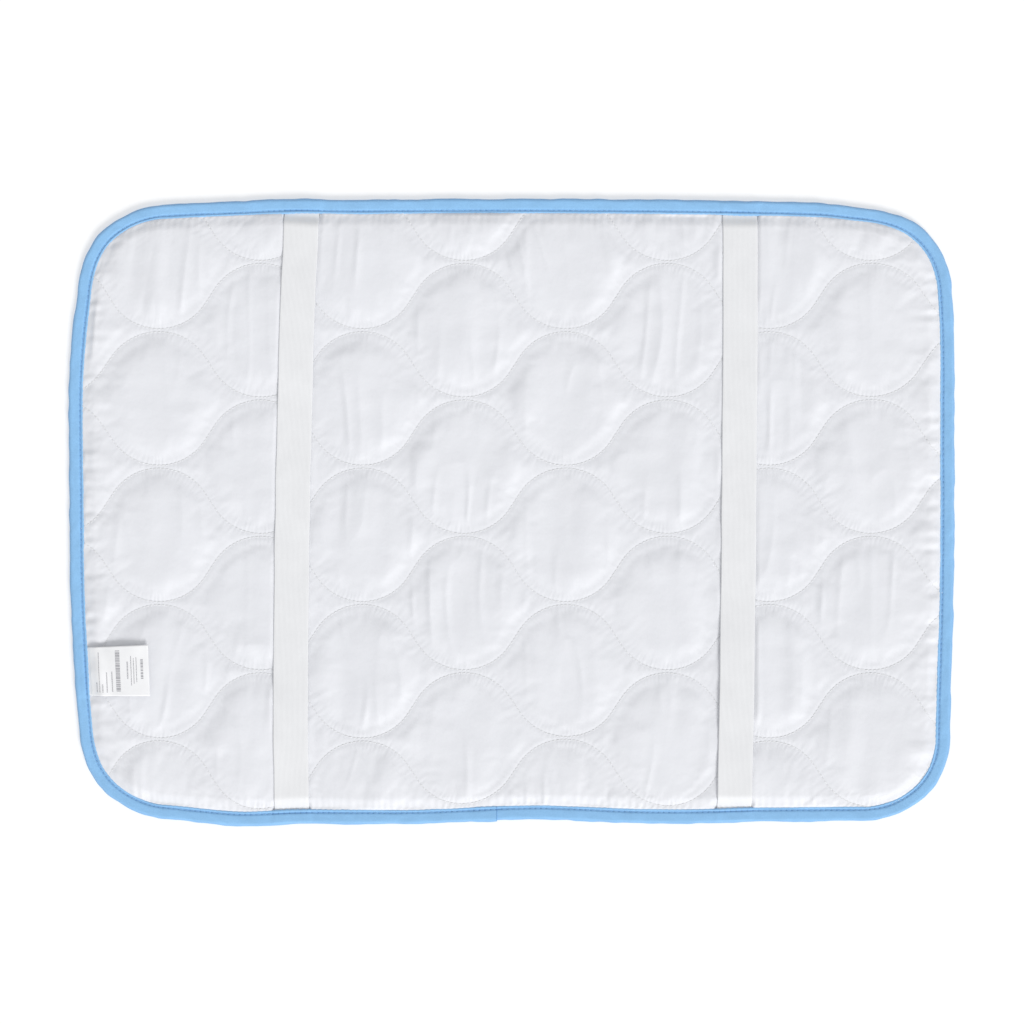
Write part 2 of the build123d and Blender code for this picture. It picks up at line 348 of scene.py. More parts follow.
class Waves:
    """The quilting rows: arcs that leave straight runs between them, every other row mirrored."""

    def __init__(self, quilt, outline):
        self.half = quilt.period / 2
        self.spacing = quilt.spacing
        self.straight = quilt.straight
        rise = quilt.spacing - quilt.neck
        self.turn = 2 * np.arctan(rise / (self.half + self.straight))
        self.radius = (self.half - self.straight * np.cos(self.turn)) / (2 * np.sin(self.turn))
        self.peak = rise / 2
        self.arc = self.radius * self.turn
        self.half_run = 2 * self.arc + self.straight
        self.stitch = self.half_run / round(self.half_run / quilt.stitch)
        self.crest_x = quilt.crest_x
        self.middle_y = quilt.middle_y
        low = -int((outline.half_width + quilt.middle_y) / quilt.spacing)
        high = int((outline.half_width - quilt.middle_y) / quilt.spacing)
        self.rows = range(low, high + 1)

    def start(self, row):
        """A crest's x and the mid-height of a row."""
        return self.crest_x + (row % 2) * self.half, self.middle_y + row * self.spacing

    def foot(self, x, y, row):
        """Distance of points from a row, and the run along it to the nearest place on it.

        The wave repeats and is its own mirror image about a crest, so a point is folded into the
        half wave from a crest to a trough, which is an arc, a straight run and an arc.
        """
        start_x, middle = self.start(row)
        wave = np.round((x - start_x) / (2 * self.half))
        offset = x - start_x - wave * 2 * self.half
        u, v = np.abs(offset), y - middle
        centre = self.peak - self.radius
        turn_1 = np.arctan2(u, v - centre)
        turn_2 = np.arctan2(self.half - u, -v - centre)
        on_1 = (turn_1 >= 0) & (turn_1 <= self.turn)
        on_2 = (turn_2 >= 0) & (turn_2 <= self.turn)
        away_1 = np.where(on_1, np.abs(np.hypot(u, v - centre) - self.radius), 1.0)
        away_2 = np.where(on_2, np.abs(np.hypot(self.half - u, -v - centre) - self.radius), 1.0)
        first = np.array((np.sin(self.turn), np.cos(self.turn))) * self.radius + (0, centre)
        along = (u - first[0]) * np.cos(self.turn) - (v - first[1]) * np.sin(self.turn)
        along = np.clip(along, 0, self.straight)
        near_u = first[0] + along * np.cos(self.turn)
        near_v = first[1] - along * np.sin(self.turn)
        away_3 = np.hypot(u - near_u, v - near_v)
        away = np.minimum(np.minimum(away_1, away_2), away_3)
        last_run = np.where(away == away_2, self.half_run - self.radius * turn_2, self.arc + along)
        run = np.where(away == away_1, self.radius * turn_1, last_run)
        return away, wave * 2 * self.half_run + np.sign(offset) * run

    def nearest(self, x, y):
        """Distance to the nearest row, the run along it, and that row's number."""
        best, run, which = np.full(x.shape, 1.0), np.zeros(x.shape), np.zeros(x.shape)
        for row in self.rows:
            away, along = self.foot(x, y, row)
            closer = away < best
            best = np.where(closer, away, best)
            run = np.where(closer, along, run)
            which = np.where(closer, row, which)
        return best, run, which

    def room(self, x, y):
        """Distance to the rows, rounded off where two rows are equally near.

        The inverse cubes of the distances to all rows are added, and the cube root of the inverse
        of that is a distance without a crease between two rows.
        """
        total = np.zeros(x.shape)
        for row in self.rows:
            away, _ = self.foot(x, y, row)
            total += np.maximum(away, 0.02 * MM) ** -3.0
        return total ** (-1 / 3)

    def sewing_place(self, x, y):
        """Run from the nearest crest or trough, distance above the nearest row, and its number."""
        away, run, row = self.nearest(x, y)
        local = run - np.round(run / self.half_run) * self.half_run
        start_x = self.crest_x + (row % 2) * self.half
        middle = self.middle_y + row * self.spacing
        u = x - start_x
        u = np.abs(u - np.round(u / (2 * self.half)) * 2 * self.half)
        centre = self.peak - self.radius
        end_u = self.radius * np.sin(self.turn)
        end_v = centre + self.radius * np.cos(self.turn)
        crest_v = centre + np.sqrt(np.maximum(self.radius**2 - u**2, 0))
        trough_v = -centre - np.sqrt(np.maximum(self.radius**2 - (self.half - u) ** 2, 0))
        straight_v = end_v - (u - end_u) * np.tan(self.turn)
        line_v = np.where(u < end_u, crest_v, np.where(u > self.half - end_u, trough_v, straight_v))
        above = np.where(y - middle > line_v, 1.0, -1.0)
        return np.stack((local, away * above, row), -1)

    def point(self, run, row):
        """Points at a run along a row, as x, y and the direction of the row there."""
        start_x, middle = self.start(row)
        wave = np.round(run / (2 * self.half_run))
        offset = run - wave * 2 * self.half_run
        part, side = np.abs(offset), np.sign(offset)
        centre = self.peak - self.radius
        turn_1 = np.minimum(part, self.arc) / self.radius
        turn_2 = np.minimum(self.half_run - part, self.arc) / self.radius
        along = np.clip(part - self.arc, 0, self.straight)
        first_u = self.radius * np.sin(turn_1) + along * np.cos(self.turn)
        first_v = centre + self.radius * np.cos(turn_1) - along * np.sin(self.turn)
        last = part > self.arc + self.straight
        u = np.where(last, self.half - self.radius * np.sin(turn_2), first_u)
        v = np.where(last, -centre - self.radius * np.cos(turn_2), first_v)
        slope = -np.where(last, turn_2, turn_1) * side
        return start_x + wave * 2 * self.half + side * u, middle + v, slope


# ---------------------------------------------------------------- height of the cloth


class Relief:
    """Heights of the quilted cloth, as functions of x and y."""

    def __init__(self, settings):
        self.outline = Outline(settings.outline)
        self.quilt = settings.quilt
        self.binding = settings.binding
        self.waves = Waves(settings.quilt, self.outline)

    def base(self, depth, valley, rim):
        """Height of the stitches: the valley's, eased down to the rim beside the binding."""
        return rim + (valley - rim) * ease((depth - self.binding.width) / (9 * MM))

    def pillow(self, room, depth, steepness=1.9 * MM):
        """Share of the full puff: steep beside a stitch or the binding, and flatter further out."""
        from_edge = np.maximum(depth - self.binding.width + 1.5 * MM, 0)
        room = room * from_edge / np.hypot(room, from_edge).clip(0.01 * MM)
        steep = 1 - np.exp(-room / steepness)
        wide = 1 - (1 - np.minimum(room / (38 * MM), 1)) ** 2
        return 0.34 * steep + 0.66 * wide

    def puckers(self, away, run, row):
        """Gathers that stand across a row of stitches, strongest just beside it.

        A cosine of the run along the row, whose phase drifts and whose strength comes and goes,
        under an envelope that rises from the stitches and dies away over a few millimetres.
        """
        drift = noise(run, row * 7.3, 11 * MM, 5) * 2.2
        teeth = np.cos(2 * np.pi * run / (5.3 * MM) + drift)
        strength = 0.55 + 0.45 * noise(run, row * 3.1, 17 * MM, 6)
        reach = (2.9 + 1.2 * noise(run, row * 5.7, 8 * MM, 7)) * MM
        return 0.10 * MM * strength * teeth * (away / reach) * np.exp(1 - away / reach)

    def edge_gathers(self, x, y, depth):
        """Gathers that run square to the binding: short along the sides, long at the ends."""
        from_edge = np.maximum(depth - self.binding.width, 0)
        on_end = ease((np.abs(x) - self.outline.half_length + 55 * MM) / (40 * MM))
        along_side = x + 0.8 * MM * noise(x, y, 9 * MM, 11)
        side = np.cos(2 * np.pi * along_side / (5.1 * MM) + 2.5 * noise(x, 0 * y, 21 * MM, 12))
        side *= 0.42 * np.exp(-from_edge / (5.5 * MM)) * (0.6 + 0.4 * noise(x, y, 13 * MM, 13))
        end = noise(x / 4.5, y, 4.6 * MM, 14) + 0.6 * noise(x / 3, y, 8.3 * MM, 15)
        end *= 0.75 * np.exp(-((from_edge / (19 * MM)) ** 2))
        return MM * (side * (1 - on_end) + end * on_end) * ease(from_edge / (1.2 * MM))

    def creases(self, x, y):
        """Soft creases that storage has left across the pad, and short ones within the puffs."""
        middle = 9.9 * MM + 1.2 * MM * noise(0 * x, y, 40 * MM, 21)
        left = -194 * MM + 1.5 * MM * noise(0 * x, y, 50 * MM, 22)
        right = 263 * MM + 1.5 * MM * noise(0 * x, y, 50 * MM, 23)
        fade = 0.55 + 0.45 * noise(0 * x, y, 60 * MM, 24)
        high = bell((x - middle) / (1.9 * MM)) - 0.5 * bell((x - middle - 4 * MM) / (3 * MM))
        total = 0.42 * fade * high
        total += 0.2 * fade * bell((x - left) / (2.2 * MM))
        total += 0.2 * fade * bell((x - right) / (2.2 * MM))
        lean = x + 0.10 * y * noise(x, y, 130 * MM, 29)
        patch = np.clip(0.75 + 1.1 * noise(x, y, 37 * MM, 26), 0, 1.5)
        folds = np.abs(noise(lean, y / 5, 13 * MM, 25))
        total += 0.70 * patch * np.maximum(1 - folds / 0.5, 0) ** 1.3
        total += 0.72 * noise(lean, y / 4.5, 14 * MM, 27) + 0.18 * noise(x / 1.7, y, 9 * MM, 28)
        total += 1.05 * noise(lean, y / 5, 29 * MM, 31)
        return MM * total

    def back(self, x, y, blown=0):
        """Height of the back cloth: stitch level, puffs, puckers, gathers and creases."""
        depth = self.outline.depth(x, y)
        away, run, row = self.waves.nearest(x, y)
        room = self.waves.room(x, y)
        full = self.pillow(room, depth)
        height = self.base(depth, self.quilt.back_valley, BACK_RIM)
        height = height + self.quilt.back_puff * full + blown * ease(away / (6 * MM))
        inside = ease((depth - self.binding.width + 1 * MM) / (3 * MM))
        height += inside * self.puckers(away, run, row)
        height += self.edge_gathers(x, y, depth)
        height += ease(room / (16 * MM)) * self.creases(x, y) * inside
        hidden = ease((self.binding.width - depth) / (0.9 * MM))
        return height * (1 - hidden) + np.minimum(height, BACK_TUCKED) * hidden

    def face(self, x, y):
        """Height of the face cloth, whose puffs hang below the stitches and rest on the floor."""
        depth = self.outline.depth(x, y)
        away, run, row = self.waves.nearest(x, y)
        full = self.pillow(self.waves.room(x, y), depth, 4 * MM)
        height = self.base(depth, self.quilt.face_valley, FACE_RIM)
        hang = np.minimum(height - LOWEST, self.quilt.face_valley * 1.3 * full)
        height = height - hang + self.puckers(away, run + 1 * MM, row) * 0.9
        return np.maximum(height, LOWEST)


# ---------------------------------------------------------------- meshes


def grid_quads(rows, columns, closed=False):
    """The quads of a grid of points stored row by row, each row joined into a ring if closed."""
    row = np.arange(rows - 1)[:, None]
    column = np.arange(columns if closed else columns - 1)[None, :]
    next_column = (column + 1) % columns
    corners = (
        row * columns + column,
        row * columns + next_column,
        (row + 1) * columns + next_column,
        (row + 1) * columns + column,
    )
    return np.stack(np.broadcast_arrays(*corners), -1).reshape(-1, 4)


def make_piece(name, points, polygons, material, uv=None, flat=0):
    """A smooth mesh object from points and from arrays of polygons with equally many corners.

    uv is a map for every point, or for every corner of every polygon. The last so many polygons
    are flat.
    """
    mesh = bpy.data.meshes.new(name)
    corners = np.concatenate([p.ravel() for p in polygons])
    sizes = np.concatenate([np.full(len(p), p.shape[1]) for p in polygons])
    mesh.vertices.add(len(points))
    mesh.vertices.foreach_set("co", np.asarray(points, np.float32).ravel())
    mesh.loops.add(len(corners))
    mesh.loops.foreach_set("vertex_index", corners.astype(np.int32))
    mesh.polygons.add(len(sizes))
    mesh.polygons.foreach_set("loop_start", (np.cumsum(sizes) - sizes).astype(np.int32))
    if uv is not None:
        layer = mesh.uv_layers.new(name="along_and_across")
        per_corner = uv if len(uv) == len(corners) else uv[corners]
        layer.data.foreach_set("uv", per_corner.astype(np.float32).ravel())
    mesh.update(calc_edges=True)
    mesh.validate()
    smooth = np.arange(len(sizes)) < len(sizes) - flat
    mesh.polygons.foreach_set("use_smooth", smooth)
    if flat:
        ends = np.empty(2 * len(mesh.edges), np.int32)
        mesh.edges.foreach_get("vertices", ends)
        on_cap = np.isin(ends, np.concatenate([p.ravel() for p in polygons[-flat:]]))
        mesh.edges.foreach_set("use_edge_sharp", on_cap.reshape(-1, 2).all(1))
    piece = bpy.data.objects.new(name, mesh)
    bpy.context.scene.collection.objects.link(piece)
    mesh.materials.append(material)
    return piece


def sewing_map(place, polygons, period):
    """The map of a quilted sheet: run from a crest or trough, and distance from the stitches.

    The run starts again every half wave, and the distance changes its sign from one row to the
    next. So within a polygon the runs are brought within half a period of its first corner's, and
    the distances lose their sign where its corners are nearest to different rows.
    """
    maps = []
    for corners in polygons:
        run, away, row = np.moveaxis(place[corners], -1, 0)
        step = run - run[:, :1]
        run = run[:, :1] + step - np.round(step / period) * period
        mixed = row.max(1, keepdims=True) != row.min(1, keepdims=True)
        maps.append(np.stack((run, np.where(mixed, np.abs(away), away)), -1).reshape(-1, 2))
    return np.concatenate(maps)


def closed_sheet(fine, coarse):
    """Points and polygons of a sheet with a fine upper surface and a coarse lower one.

    coarse has every so-manieth point of fine, either way. A border polygon joins one edge of
    coarse to the short edges of fine above it.
    """
    rows, columns = fine.shape[:2]
    low_rows, low_columns = coarse.shape[:2]
    first_low = rows * columns
    top = np.arange(first_low).reshape(rows, columns)
    low = first_low + np.arange(low_rows * low_columns).reshape(low_rows, low_columns)
    polygons = [grid_quads(rows, columns), grid_quads(low_rows, low_columns)[:, ::-1] + first_low]
    edges = (
        (top[0], low[0]),
        (top[:, -1], low[:, -1]),
        (top[-1, ::-1], low[-1, ::-1]),
        (top[::-1, 0], low[::-1, 0]),
    )
    for upper, lower in edges:
        every = (len(upper) - 1) // (len(lower) - 1)
        steps = np.arange(len(lower) - 1)[:, None] * every + np.arange(every, -1, -1)[None, :]
        border = np.concatenate((lower[:-1, None], lower[1:, None], upper[steps]), 1)
        polygons.append(border)
    points = np.concatenate((fine.reshape(-1, 3), coarse.reshape(-1, 3)))
    return points, polygons


def swept(name, rings, run, across, material):
    """A piece from rings of points along a path, each a closed profile, with a cap at both ends.

    Its map is the run along the path and the place across the profile.
    """
    count, around = rings.shape[:2]
    polygons = [
        grid_quads(count, around, closed=True),
        np.arange(around)[None, ::-1],
        (count - 1) * around + np.arange(around)[None, :],
    ]
    uv = np.stack(np.broadcast_arrays(run[:, None], across[None, :]), -1).reshape(-1, 2)
    return make_piece(name, rings.reshape(-1, 3), polygons, material, uv, flat=2)


def stitches(x, y, z, facing, size, radius, up):
    """Points and polygons of stitches: short round threads that bow up and dive at both ends.

    The thread's radius is the whole one times sqrt(1 - |t|^5), and its height is the radius times
    0.55 (1 - 2.6 tttt), where t runs from -1 to 1 along the stitch. up is 1 on the back, -1 on
    the face.
    """
    along = np.linspace(-1, 1, 7)
    thick = radius * np.sqrt(np.clip(1 - np.abs(along) ** 5, 0.02, 1))
    bow = 0.55 * radius * (1 - 2.6 * along**4)
    turn = np.linspace(0, 2 * np.pi, 6, endpoint=False)
    across = thick[:, None] * np.cos(turn)[None, :]
    high = thick[:, None] * np.sin(turn)[None, :] * 0.8 + bow[:, None]
    reach = np.broadcast_to(along[:, None] * size / 2, across.shape)
    cos, sin = np.cos(facing)[:, None, None], np.sin(facing)[:, None, None]
    px = x[:, None, None] + reach * cos - across * sin * up
    py = y[:, None, None] + reach * sin + across * cos * up
    pz = z[:, None, None] + high * up
    points = np.stack((px, py, pz), -1)
    ring = grid_quads(len(along), len(turn), closed=True)
    each = len(along) * len(turn)
    first = (np.arange(len(x)) * each)[:, None, None]
    sides = (ring[None] + first).reshape(-1, 4)[:, ::-1]
    ends = np.stack((np.arange(len(turn)), np.arange(len(turn))[::-1] + each - len(turn)))
    ends = (ends[None] + first).reshape(-1, len(turn))
    return points.reshape(-1, 3), [sides, ends]


# ---------------------------------------------------------------- materials


def add_node(tree, kind, values=None, **settings):
    """A shader node, with its settings, and with values or links for its inputs."""
    made = tree.nodes.new(kind)
    for key, value in settings.items():
        setattr(made, key, value)
    for key, value in (values or {}).items():
        if isinstance(value, bpy.types.NodeSocket):
            tree.links.new(value, made.inputs[key])
        else:
            made.inputs[key].default_value = value
    return made


def sums(tree, operation, first, second=0.0):
    """The output of a Math node."""
    return add_node(tree, "ShaderNodeMath", {0: first, 1: second}, operation=operation).outputs[0]


def squared_falloff(tree, away, reach):
    """exp(-(a/w)(a/w)), where a is a distance and w is its reach."""
    share = sums(tree, "DIVIDE", away, reach)
    squared = sums(tree, "MULTIPLY", share, share)
    return sums(tree, "EXPONENT", sums(tree, "MULTIPLY", squared, -1.0))


def cloth_material(name, base, roughness, sheen):
    """A Principled material with a matt cloth's sheen, and its node tree and shader."""
    made = bpy.data.materials.new(name)
    made.use_nodes = True
    made.diffuse_color = (*base, 1)
    shader = made.node_tree.nodes["Principled BSDF"]
    shader.inputs["Roughness"].default_value = roughness
    shader.inputs["Sheen Weight"].default_value = sheen
    shader.inputs["Sheen Roughness"].default_value = 0.5
    shader.inputs["Specular IOR Level"].default_value = 0.3
    return made, made.node_tree, shader


def map_range(tree, value, low, high, to_low=0.0, to_high=1.0):
    """A value stretched from one range to another, and held at its ends."""
    return add_node(
        tree,
        "ShaderNodeMapRange",
        {"Value": value, "From Min": low, "From Max": high, "To Min": to_low, "To Max": to_high},
    ).outputs["Result"]


def mixed(tree, factor, shade, other):
    """A shade mixed with another colour by a factor."""
    mix = add_node(tree, "ShaderNodeMix", {"Factor": factor, "A": shade}, data_type="RGBA")
    mix.inputs["B"].default_value = (*other, 1)
    return mix.outputs["Result"]


def mottled(tree, vector, base, darker, scale, detail=3.0):
    """A colour that drifts between base and a darker share of it, over cloudy noise."""
    cloud = add_node(
        tree, "ShaderNodeTexNoise", {"Vector": vector, "Scale": scale, "Detail": detail}
    ).outputs["Fac"]
    factor = map_range(tree, cloud, 0.3, 0.7)
    mix = add_node(tree, "ShaderNodeMix", {"Factor": factor}, data_type="RGBA")
    mix.inputs["A"].default_value = (*(c * darker for c in base), 1)
    mix.inputs["B"].default_value = (*base, 1)
    return mix.outputs["Result"]


def weave_height(tree, across, along, pitch_across, pitch_along):
    """A plain weave: the product of two sines, one for the warp and one for the weft."""
    warp = sums(tree, "SINE", sums(tree, "MULTIPLY", across, 2 * np.pi / pitch_across))
    weft = sums(tree, "SINE", sums(tree, "MULTIPLY", along, 2 * np.pi / pitch_along))
    return sums(tree, "MULTIPLY", warp, weft)


def add_bump(tree, shader, height, distance, strength=1.0, below=None):
    """Bump from a height, on top of another bump if one is given."""
    values = {"Height": height, "Distance": distance, "Strength": strength}
    if below is not None:
        values["Normal"] = below
    normal = add_node(tree, "ShaderNodeBump", values).outputs["Normal"]
    tree.links.new(normal, shader.inputs["Normal"])
    return normal


def object_axes(tree):
    """Object coordinates, whole and as separate x, y and z."""
    vector = add_node(tree, "ShaderNodeTexCoord").outputs["Object"]
    split = add_node(tree, "ShaderNodeSeparateXYZ", {"Vector": vector})
    return vector, split.outputs["X"], split.outputs["Y"], split.outputs["Z"]


def uv_axes(tree):
    """The piece's own map: metres along it and metres across it."""
    vector = add_node(tree, "ShaderNodeUVMap", uv_map="along_and_across").outputs["UV"]
    split = add_node(tree, "ShaderNodeSeparateXYZ", {"Vector": vector})
    return vector, split.outputs["X"], split.outputs["Y"]


def sewn_height(tree, vector, half_run, pitch, teeth_height, groove_height):
    """Height of the gathers beside a row of stitches and of the groove that it lies in, in metres.

    The gathers are a cosine of the run, with a drifting phase and strength, times
    (a/w) exp(1 - a/w), where a is the distance from the stitches. They are strongest at the crests
    and troughs. The groove is exp(-(a/w)(a/w)).
    """
    _, run, away = uv_axes(tree)
    away = sums(tree, "ABSOLUTE", away)
    drift = add_node(tree, "ShaderNodeTexNoise", {"Vector": vector, "Scale": 75, "Detail": 1})
    patchy = add_node(tree, "ShaderNodeTexNoise", {"Vector": vector, "Scale": 120, "Detail": 1})
    phase = sums(tree, "MULTIPLY", run, 2 * np.pi / pitch)
    phase = sums(tree, "ADD", phase, sums(tree, "MULTIPLY", drift.outputs["Fac"], 9.0))
    teeth = sums(tree, "COSINE", phase)
    share = map_range(tree, patchy.outputs["Fac"], 0.32, 0.66, 0.25, 1.0)
    reach = sums(tree, "DIVIDE", away, 1.9 * MM)
    fading = sums(tree, "EXPONENT", sums(tree, "SUBTRACT", 1.0, reach))
    envelope = sums(tree, "MULTIPLY", reach, fading)
    teeth = sums(tree, "MULTIPLY", sums(tree, "MULTIPLY", teeth, share), envelope)
    narrow = squared_falloff(tree, away, 0.5 * MM)
    neck = sums(tree, "COSINE", sums(tree, "MULTIPLY", run, 2 * np.pi / half_run))
    neck = sums(tree, "ADD", sums(tree, "MULTIPLY", neck, 0.45), 0.85)
    teeth = sums(tree, "MULTIPLY", sums(tree, "MULTIPLY", teeth, neck), teeth_height)
    return sums(tree, "SUBTRACT", teeth, sums(tree, "MULTIPLY", narrow, groove_height)), narrow


def back_cloth(quilt, waves):
    """Thin, smooth, slightly glossy woven cloth, gathered at the stitches, with fine crumples."""
    made, tree, shader = cloth_material("back_cloth", quilt.back_colour, 0.5, 0.12)
    vector, x, y, _ = object_axes(tree)
    shade = mottled(tree, vector, quilt.back_colour, 0.972, 45)
    pitch = waves.half_run / 28
    gathers, groove = sewn_height(tree, vector, waves.half_run, pitch, 0.05 * MM, 0.015 * MM)
    _, run, _ = uv_axes(tree)
    # painted shade: the cloth is darkened in the needle holes along the groove of each stitch row
    hole = sums(tree, "SINE", sums(tree, "MULTIPLY", run, np.pi / waves.stitch))
    hole = sums(tree, "POWER", sums(tree, "ABSOLUTE", hole), 8)
    factor = sums(tree, "MULTIPLY", sums(tree, "MULTIPLY", hole, groove), 0.22)
    shade = mixed(tree, factor, shade, [c * 0.5 for c in quilt.back_colour])
    tree.links.new(shade, shader.inputs["Base Color"])
    normal = add_bump(tree, shader, gathers, 1.0)
    crumple = add_node(
        tree,
        "ShaderNodeTexNoise",
        {"Vector": vector, "Scale": 170, "Detail": 3, "Roughness": 0.55, "Distortion": 0.2},
    ).outputs["Fac"]
    normal = add_bump(tree, shader, crumple, 0.45 * MM, 0.5, normal)
    weave = weave_height(tree, x, y, 0.42 * MM, 0.42 * MM)
    add_bump(tree, shader, weave, 0.03 * MM, 0.5, normal)
    return made


def face_cloth(quilt, waves):
    """Soft white cotton jersey: fine vertical ribs of knit loops."""
    made, tree, shader = cloth_material("face_cloth", quilt.face_colour, 0.82, 0.35)
    vector, x, y, _ = object_axes(tree)
    tree.links.new(mottled(tree, vector, quilt.face_colour, 0.96, 40), shader.inputs["Base Color"])
    lean = sums(tree, "MULTIPLY", sums(tree, "PINGPONG", x, 0.6 * MM), 0.9)
    knit = weave_height(tree, x, sums(tree, "ADD", y, lean), 1.2 * MM, 0.9 * MM)
    fuzz = add_node(tree, "ShaderNodeTexNoise", {"Vector": vector, "Scale": 900, "Detail": 2})
    pitch = waves.half_run / 24
    gathers, _ = sewn_height(tree, vector, waves.half_run, pitch, 0.14 * MM, 0.22 * MM)
    normal = add_bump(tree, shader, gathers, 1.0)
    normal = add_bump(tree, shader, fuzz.outputs["Fac"], 0.2 * MM, 0.4, normal)
    add_bump(tree, shader, knit, 0.07 * MM, 0.8, normal)
    return made


def wadding_fibre():
    """Loose white polyester fibre."""
    base = (0.88, 0.88, 0.88)
    made, tree, shader = cloth_material("wadding_fibre", base, 0.95, 0.5)
    vector, _, _, _ = object_axes(tree)
    tree.links.new(mottled(tree, vector, base, 0.9, 220), shader.inputs["Base Color"])
    fibre = add_node(tree, "ShaderNodeTexNoise", {"Vector": vector, "Scale": 700, "Distortion": 3})
    add_bump(tree, shader, fibre.outputs["Fac"], 0.4 * MM)
    return made


def binding_tape(binding, tape_end):
    """Woven bias tape: threads on the diagonal, and a shade that drifts along the tape.

    It is darker at random in fine specks. Shade is painted on it where the thread dives into it,
    along its stitches, at its outer rim and at its cut end.
    """
    made, tree, shader = cloth_material("binding_tape", binding.colour, 0.62, 0.25)
    vector, along, across = uv_axes(tree)
    lengthwise = add_node(
        tree, "ShaderNodeMapping", {"Vector": vector, "Scale": (1.0, 2.2, 1.0)}
    ).outputs["Vector"]
    shade = mottled(tree, lengthwise, binding.colour, 0.90, 70)
    from_rim = sums(tree, "ABSOLUTE", across)
    off_row = sums(tree, "SUBTRACT", from_rim, binding.width - binding.stitch_inset)
    on_row = squared_falloff(tree, off_row, 0.55 * MM)
    # painted shade: dark dots in the needle holes where the thread dives into the tape
    hole = sums(tree, "COSINE", sums(tree, "MULTIPLY", along, np.pi / binding.stitch))
    hole = sums(tree, "POWER", sums(tree, "ABSOLUTE", hole), 18)
    painted_hole_shade = sums(tree, "MULTIPLY", sums(tree, "MULTIPLY", hole, on_row), 0.75)
    shade = mixed(tree, painted_hole_shade, shade, [c * 0.32 for c in binding.colour])
    # the tape's fine random tone, to which painted shade is added below
    fine = add_node(tree, "ShaderNodeTexNoise", {"Vector": vector, "Scale": 900, "Detail": 2})
    tone_and_painted_shade = map_range(tree, fine.outputs["Fac"], 0.3, 0.7, 0.0, 0.16)
    # painted shadow along the cut end, where the lapped end stands off the tape beneath it
    cut = sums(tree, "GREATER_THAN", along, tape_end - 0.7 * MM)
    # painted shade round the outer rim, where the edge turns under
    rim = squared_falloff(tree, from_rim, 1.3 * MM)
    # painted shade at the cut end, along the stitch row's groove and round the rim
    for place, strength in ((cut, 0.7), (on_row, 0.75), (rim, 0.6)):
        tone_and_painted_shade = sums(tree, "MAXIMUM", tone_and_painted_shade, sums(tree, "MULTIPLY", place, strength))
    tone_and_shade_shares = (0.42, 0.52, 0.66)
    tone_and_shade_colour = [share * part for share, part in zip(tone_and_shade_shares, binding.colour)]
    shade = mixed(tree, tone_and_painted_shade, shade, tone_and_shade_colour)
    tree.links.new(shade, shader.inputs["Base Color"])
    one = sums(tree, "ADD", along, across)
    other = sums(tree, "SUBTRACT", along, across)
    weave = weave_height(tree, one, other, 0.62 * MM, 0.62 * MM)
    slub = add_node(tree, "ShaderNodeTexNoise", {"Vector": vector, "Scale": 420, "Detail": 3})
    normal = add_bump(tree, shader, slub.outputs["Fac"], 0.25 * MM, 0.5)
    add_bump(tree, shader, weave, 0.05 * MM, 0.8, normal)
    return made


def sewing_thread(name, base):
    """Twisted sewing thread, with a faint gloss."""
    made, tree, shader = cloth_material(name, base, 0.5, 0.15)
    vector, x, y, z = object_axes(tree)
    tree.links.new(mottled(tree, vector, base, 0.9, 900, 1.0), shader.inputs["Base Color"])
    slope = sums(tree, "ADD", sums(tree, "ADD", x, y), sums(tree, "MULTIPLY", z, 1.5))
    twist = sums(tree, "SINE", sums(tree, "MULTIPLY", slope, 2 * np.pi / (0.5 * MM)))
    add_bump(tree, shader, twist, 0.04 * MM, 0.8)
    return made


def ribbed_elastic(strap):
    """Elastic: covered rubber cords lengthwise, and fine weft threads across them."""
    made, tree, shader = cloth_material("ribbed_elastic", strap.colour, 0.55, 0.2)
    vector, along, across = uv_axes(tree)
    shade = mottled(tree, vector, strap.colour, 0.96, 60)
    # painted shade in the grooves between the ribs: the colour is multiplied down to 0.93 there
    groove = sums(tree, "COSINE", sums(tree, "MULTIPLY", across, 2 * np.pi / strap.rib))
    factor = map_range(tree, groove, -1, 0.2, 0.93, 1.0)
    mix = add_node(tree, "ShaderNodeMix", {"Factor": 1.0, "A": shade}, data_type="RGBA")
    mix.blend_type = "MULTIPLY"
    tree.links.new(factor, mix.inputs["B"])
    tree.links.new(mix.outputs["Result"], shader.inputs["Base Color"])
    weave = weave_height(tree, across, along, strap.rib, 0.7 * MM)
    add_bump(tree, shader, weave, 0.022 * MM, 0.8)
    return made


# rows of printed bars, in mm: place along the tape, height, start and end across it, bar length
PRINT_ROWS = (
    (6.4, 0.9, -15.4, -8.0, 1.2),
    (8.6, 0.7, -15.4, 13.9, 1.0),
    (11.0, 0.9, -15.4, -9.4, 1.2),
    (14.2, 0.9, -15.4, -0.7, 1.2),
    (18.2, 0.9, -15.0, -0.3, 1.2),
    (22.9, 3.4, -15.0, 14.9, 2.6),
    (30.2, 1.1, -5.8, 6.6, 1.4),
    (32.9, 0.7, -10.4, 10.7, 1.0),
    (34.9, 0.7, -9.0, 9.0, 1.0),
    (36.9, 0.7, -8.0, 9.5, 1.0),
    (41.0, 1.9, -6.0, 8.0, 3.4),
)


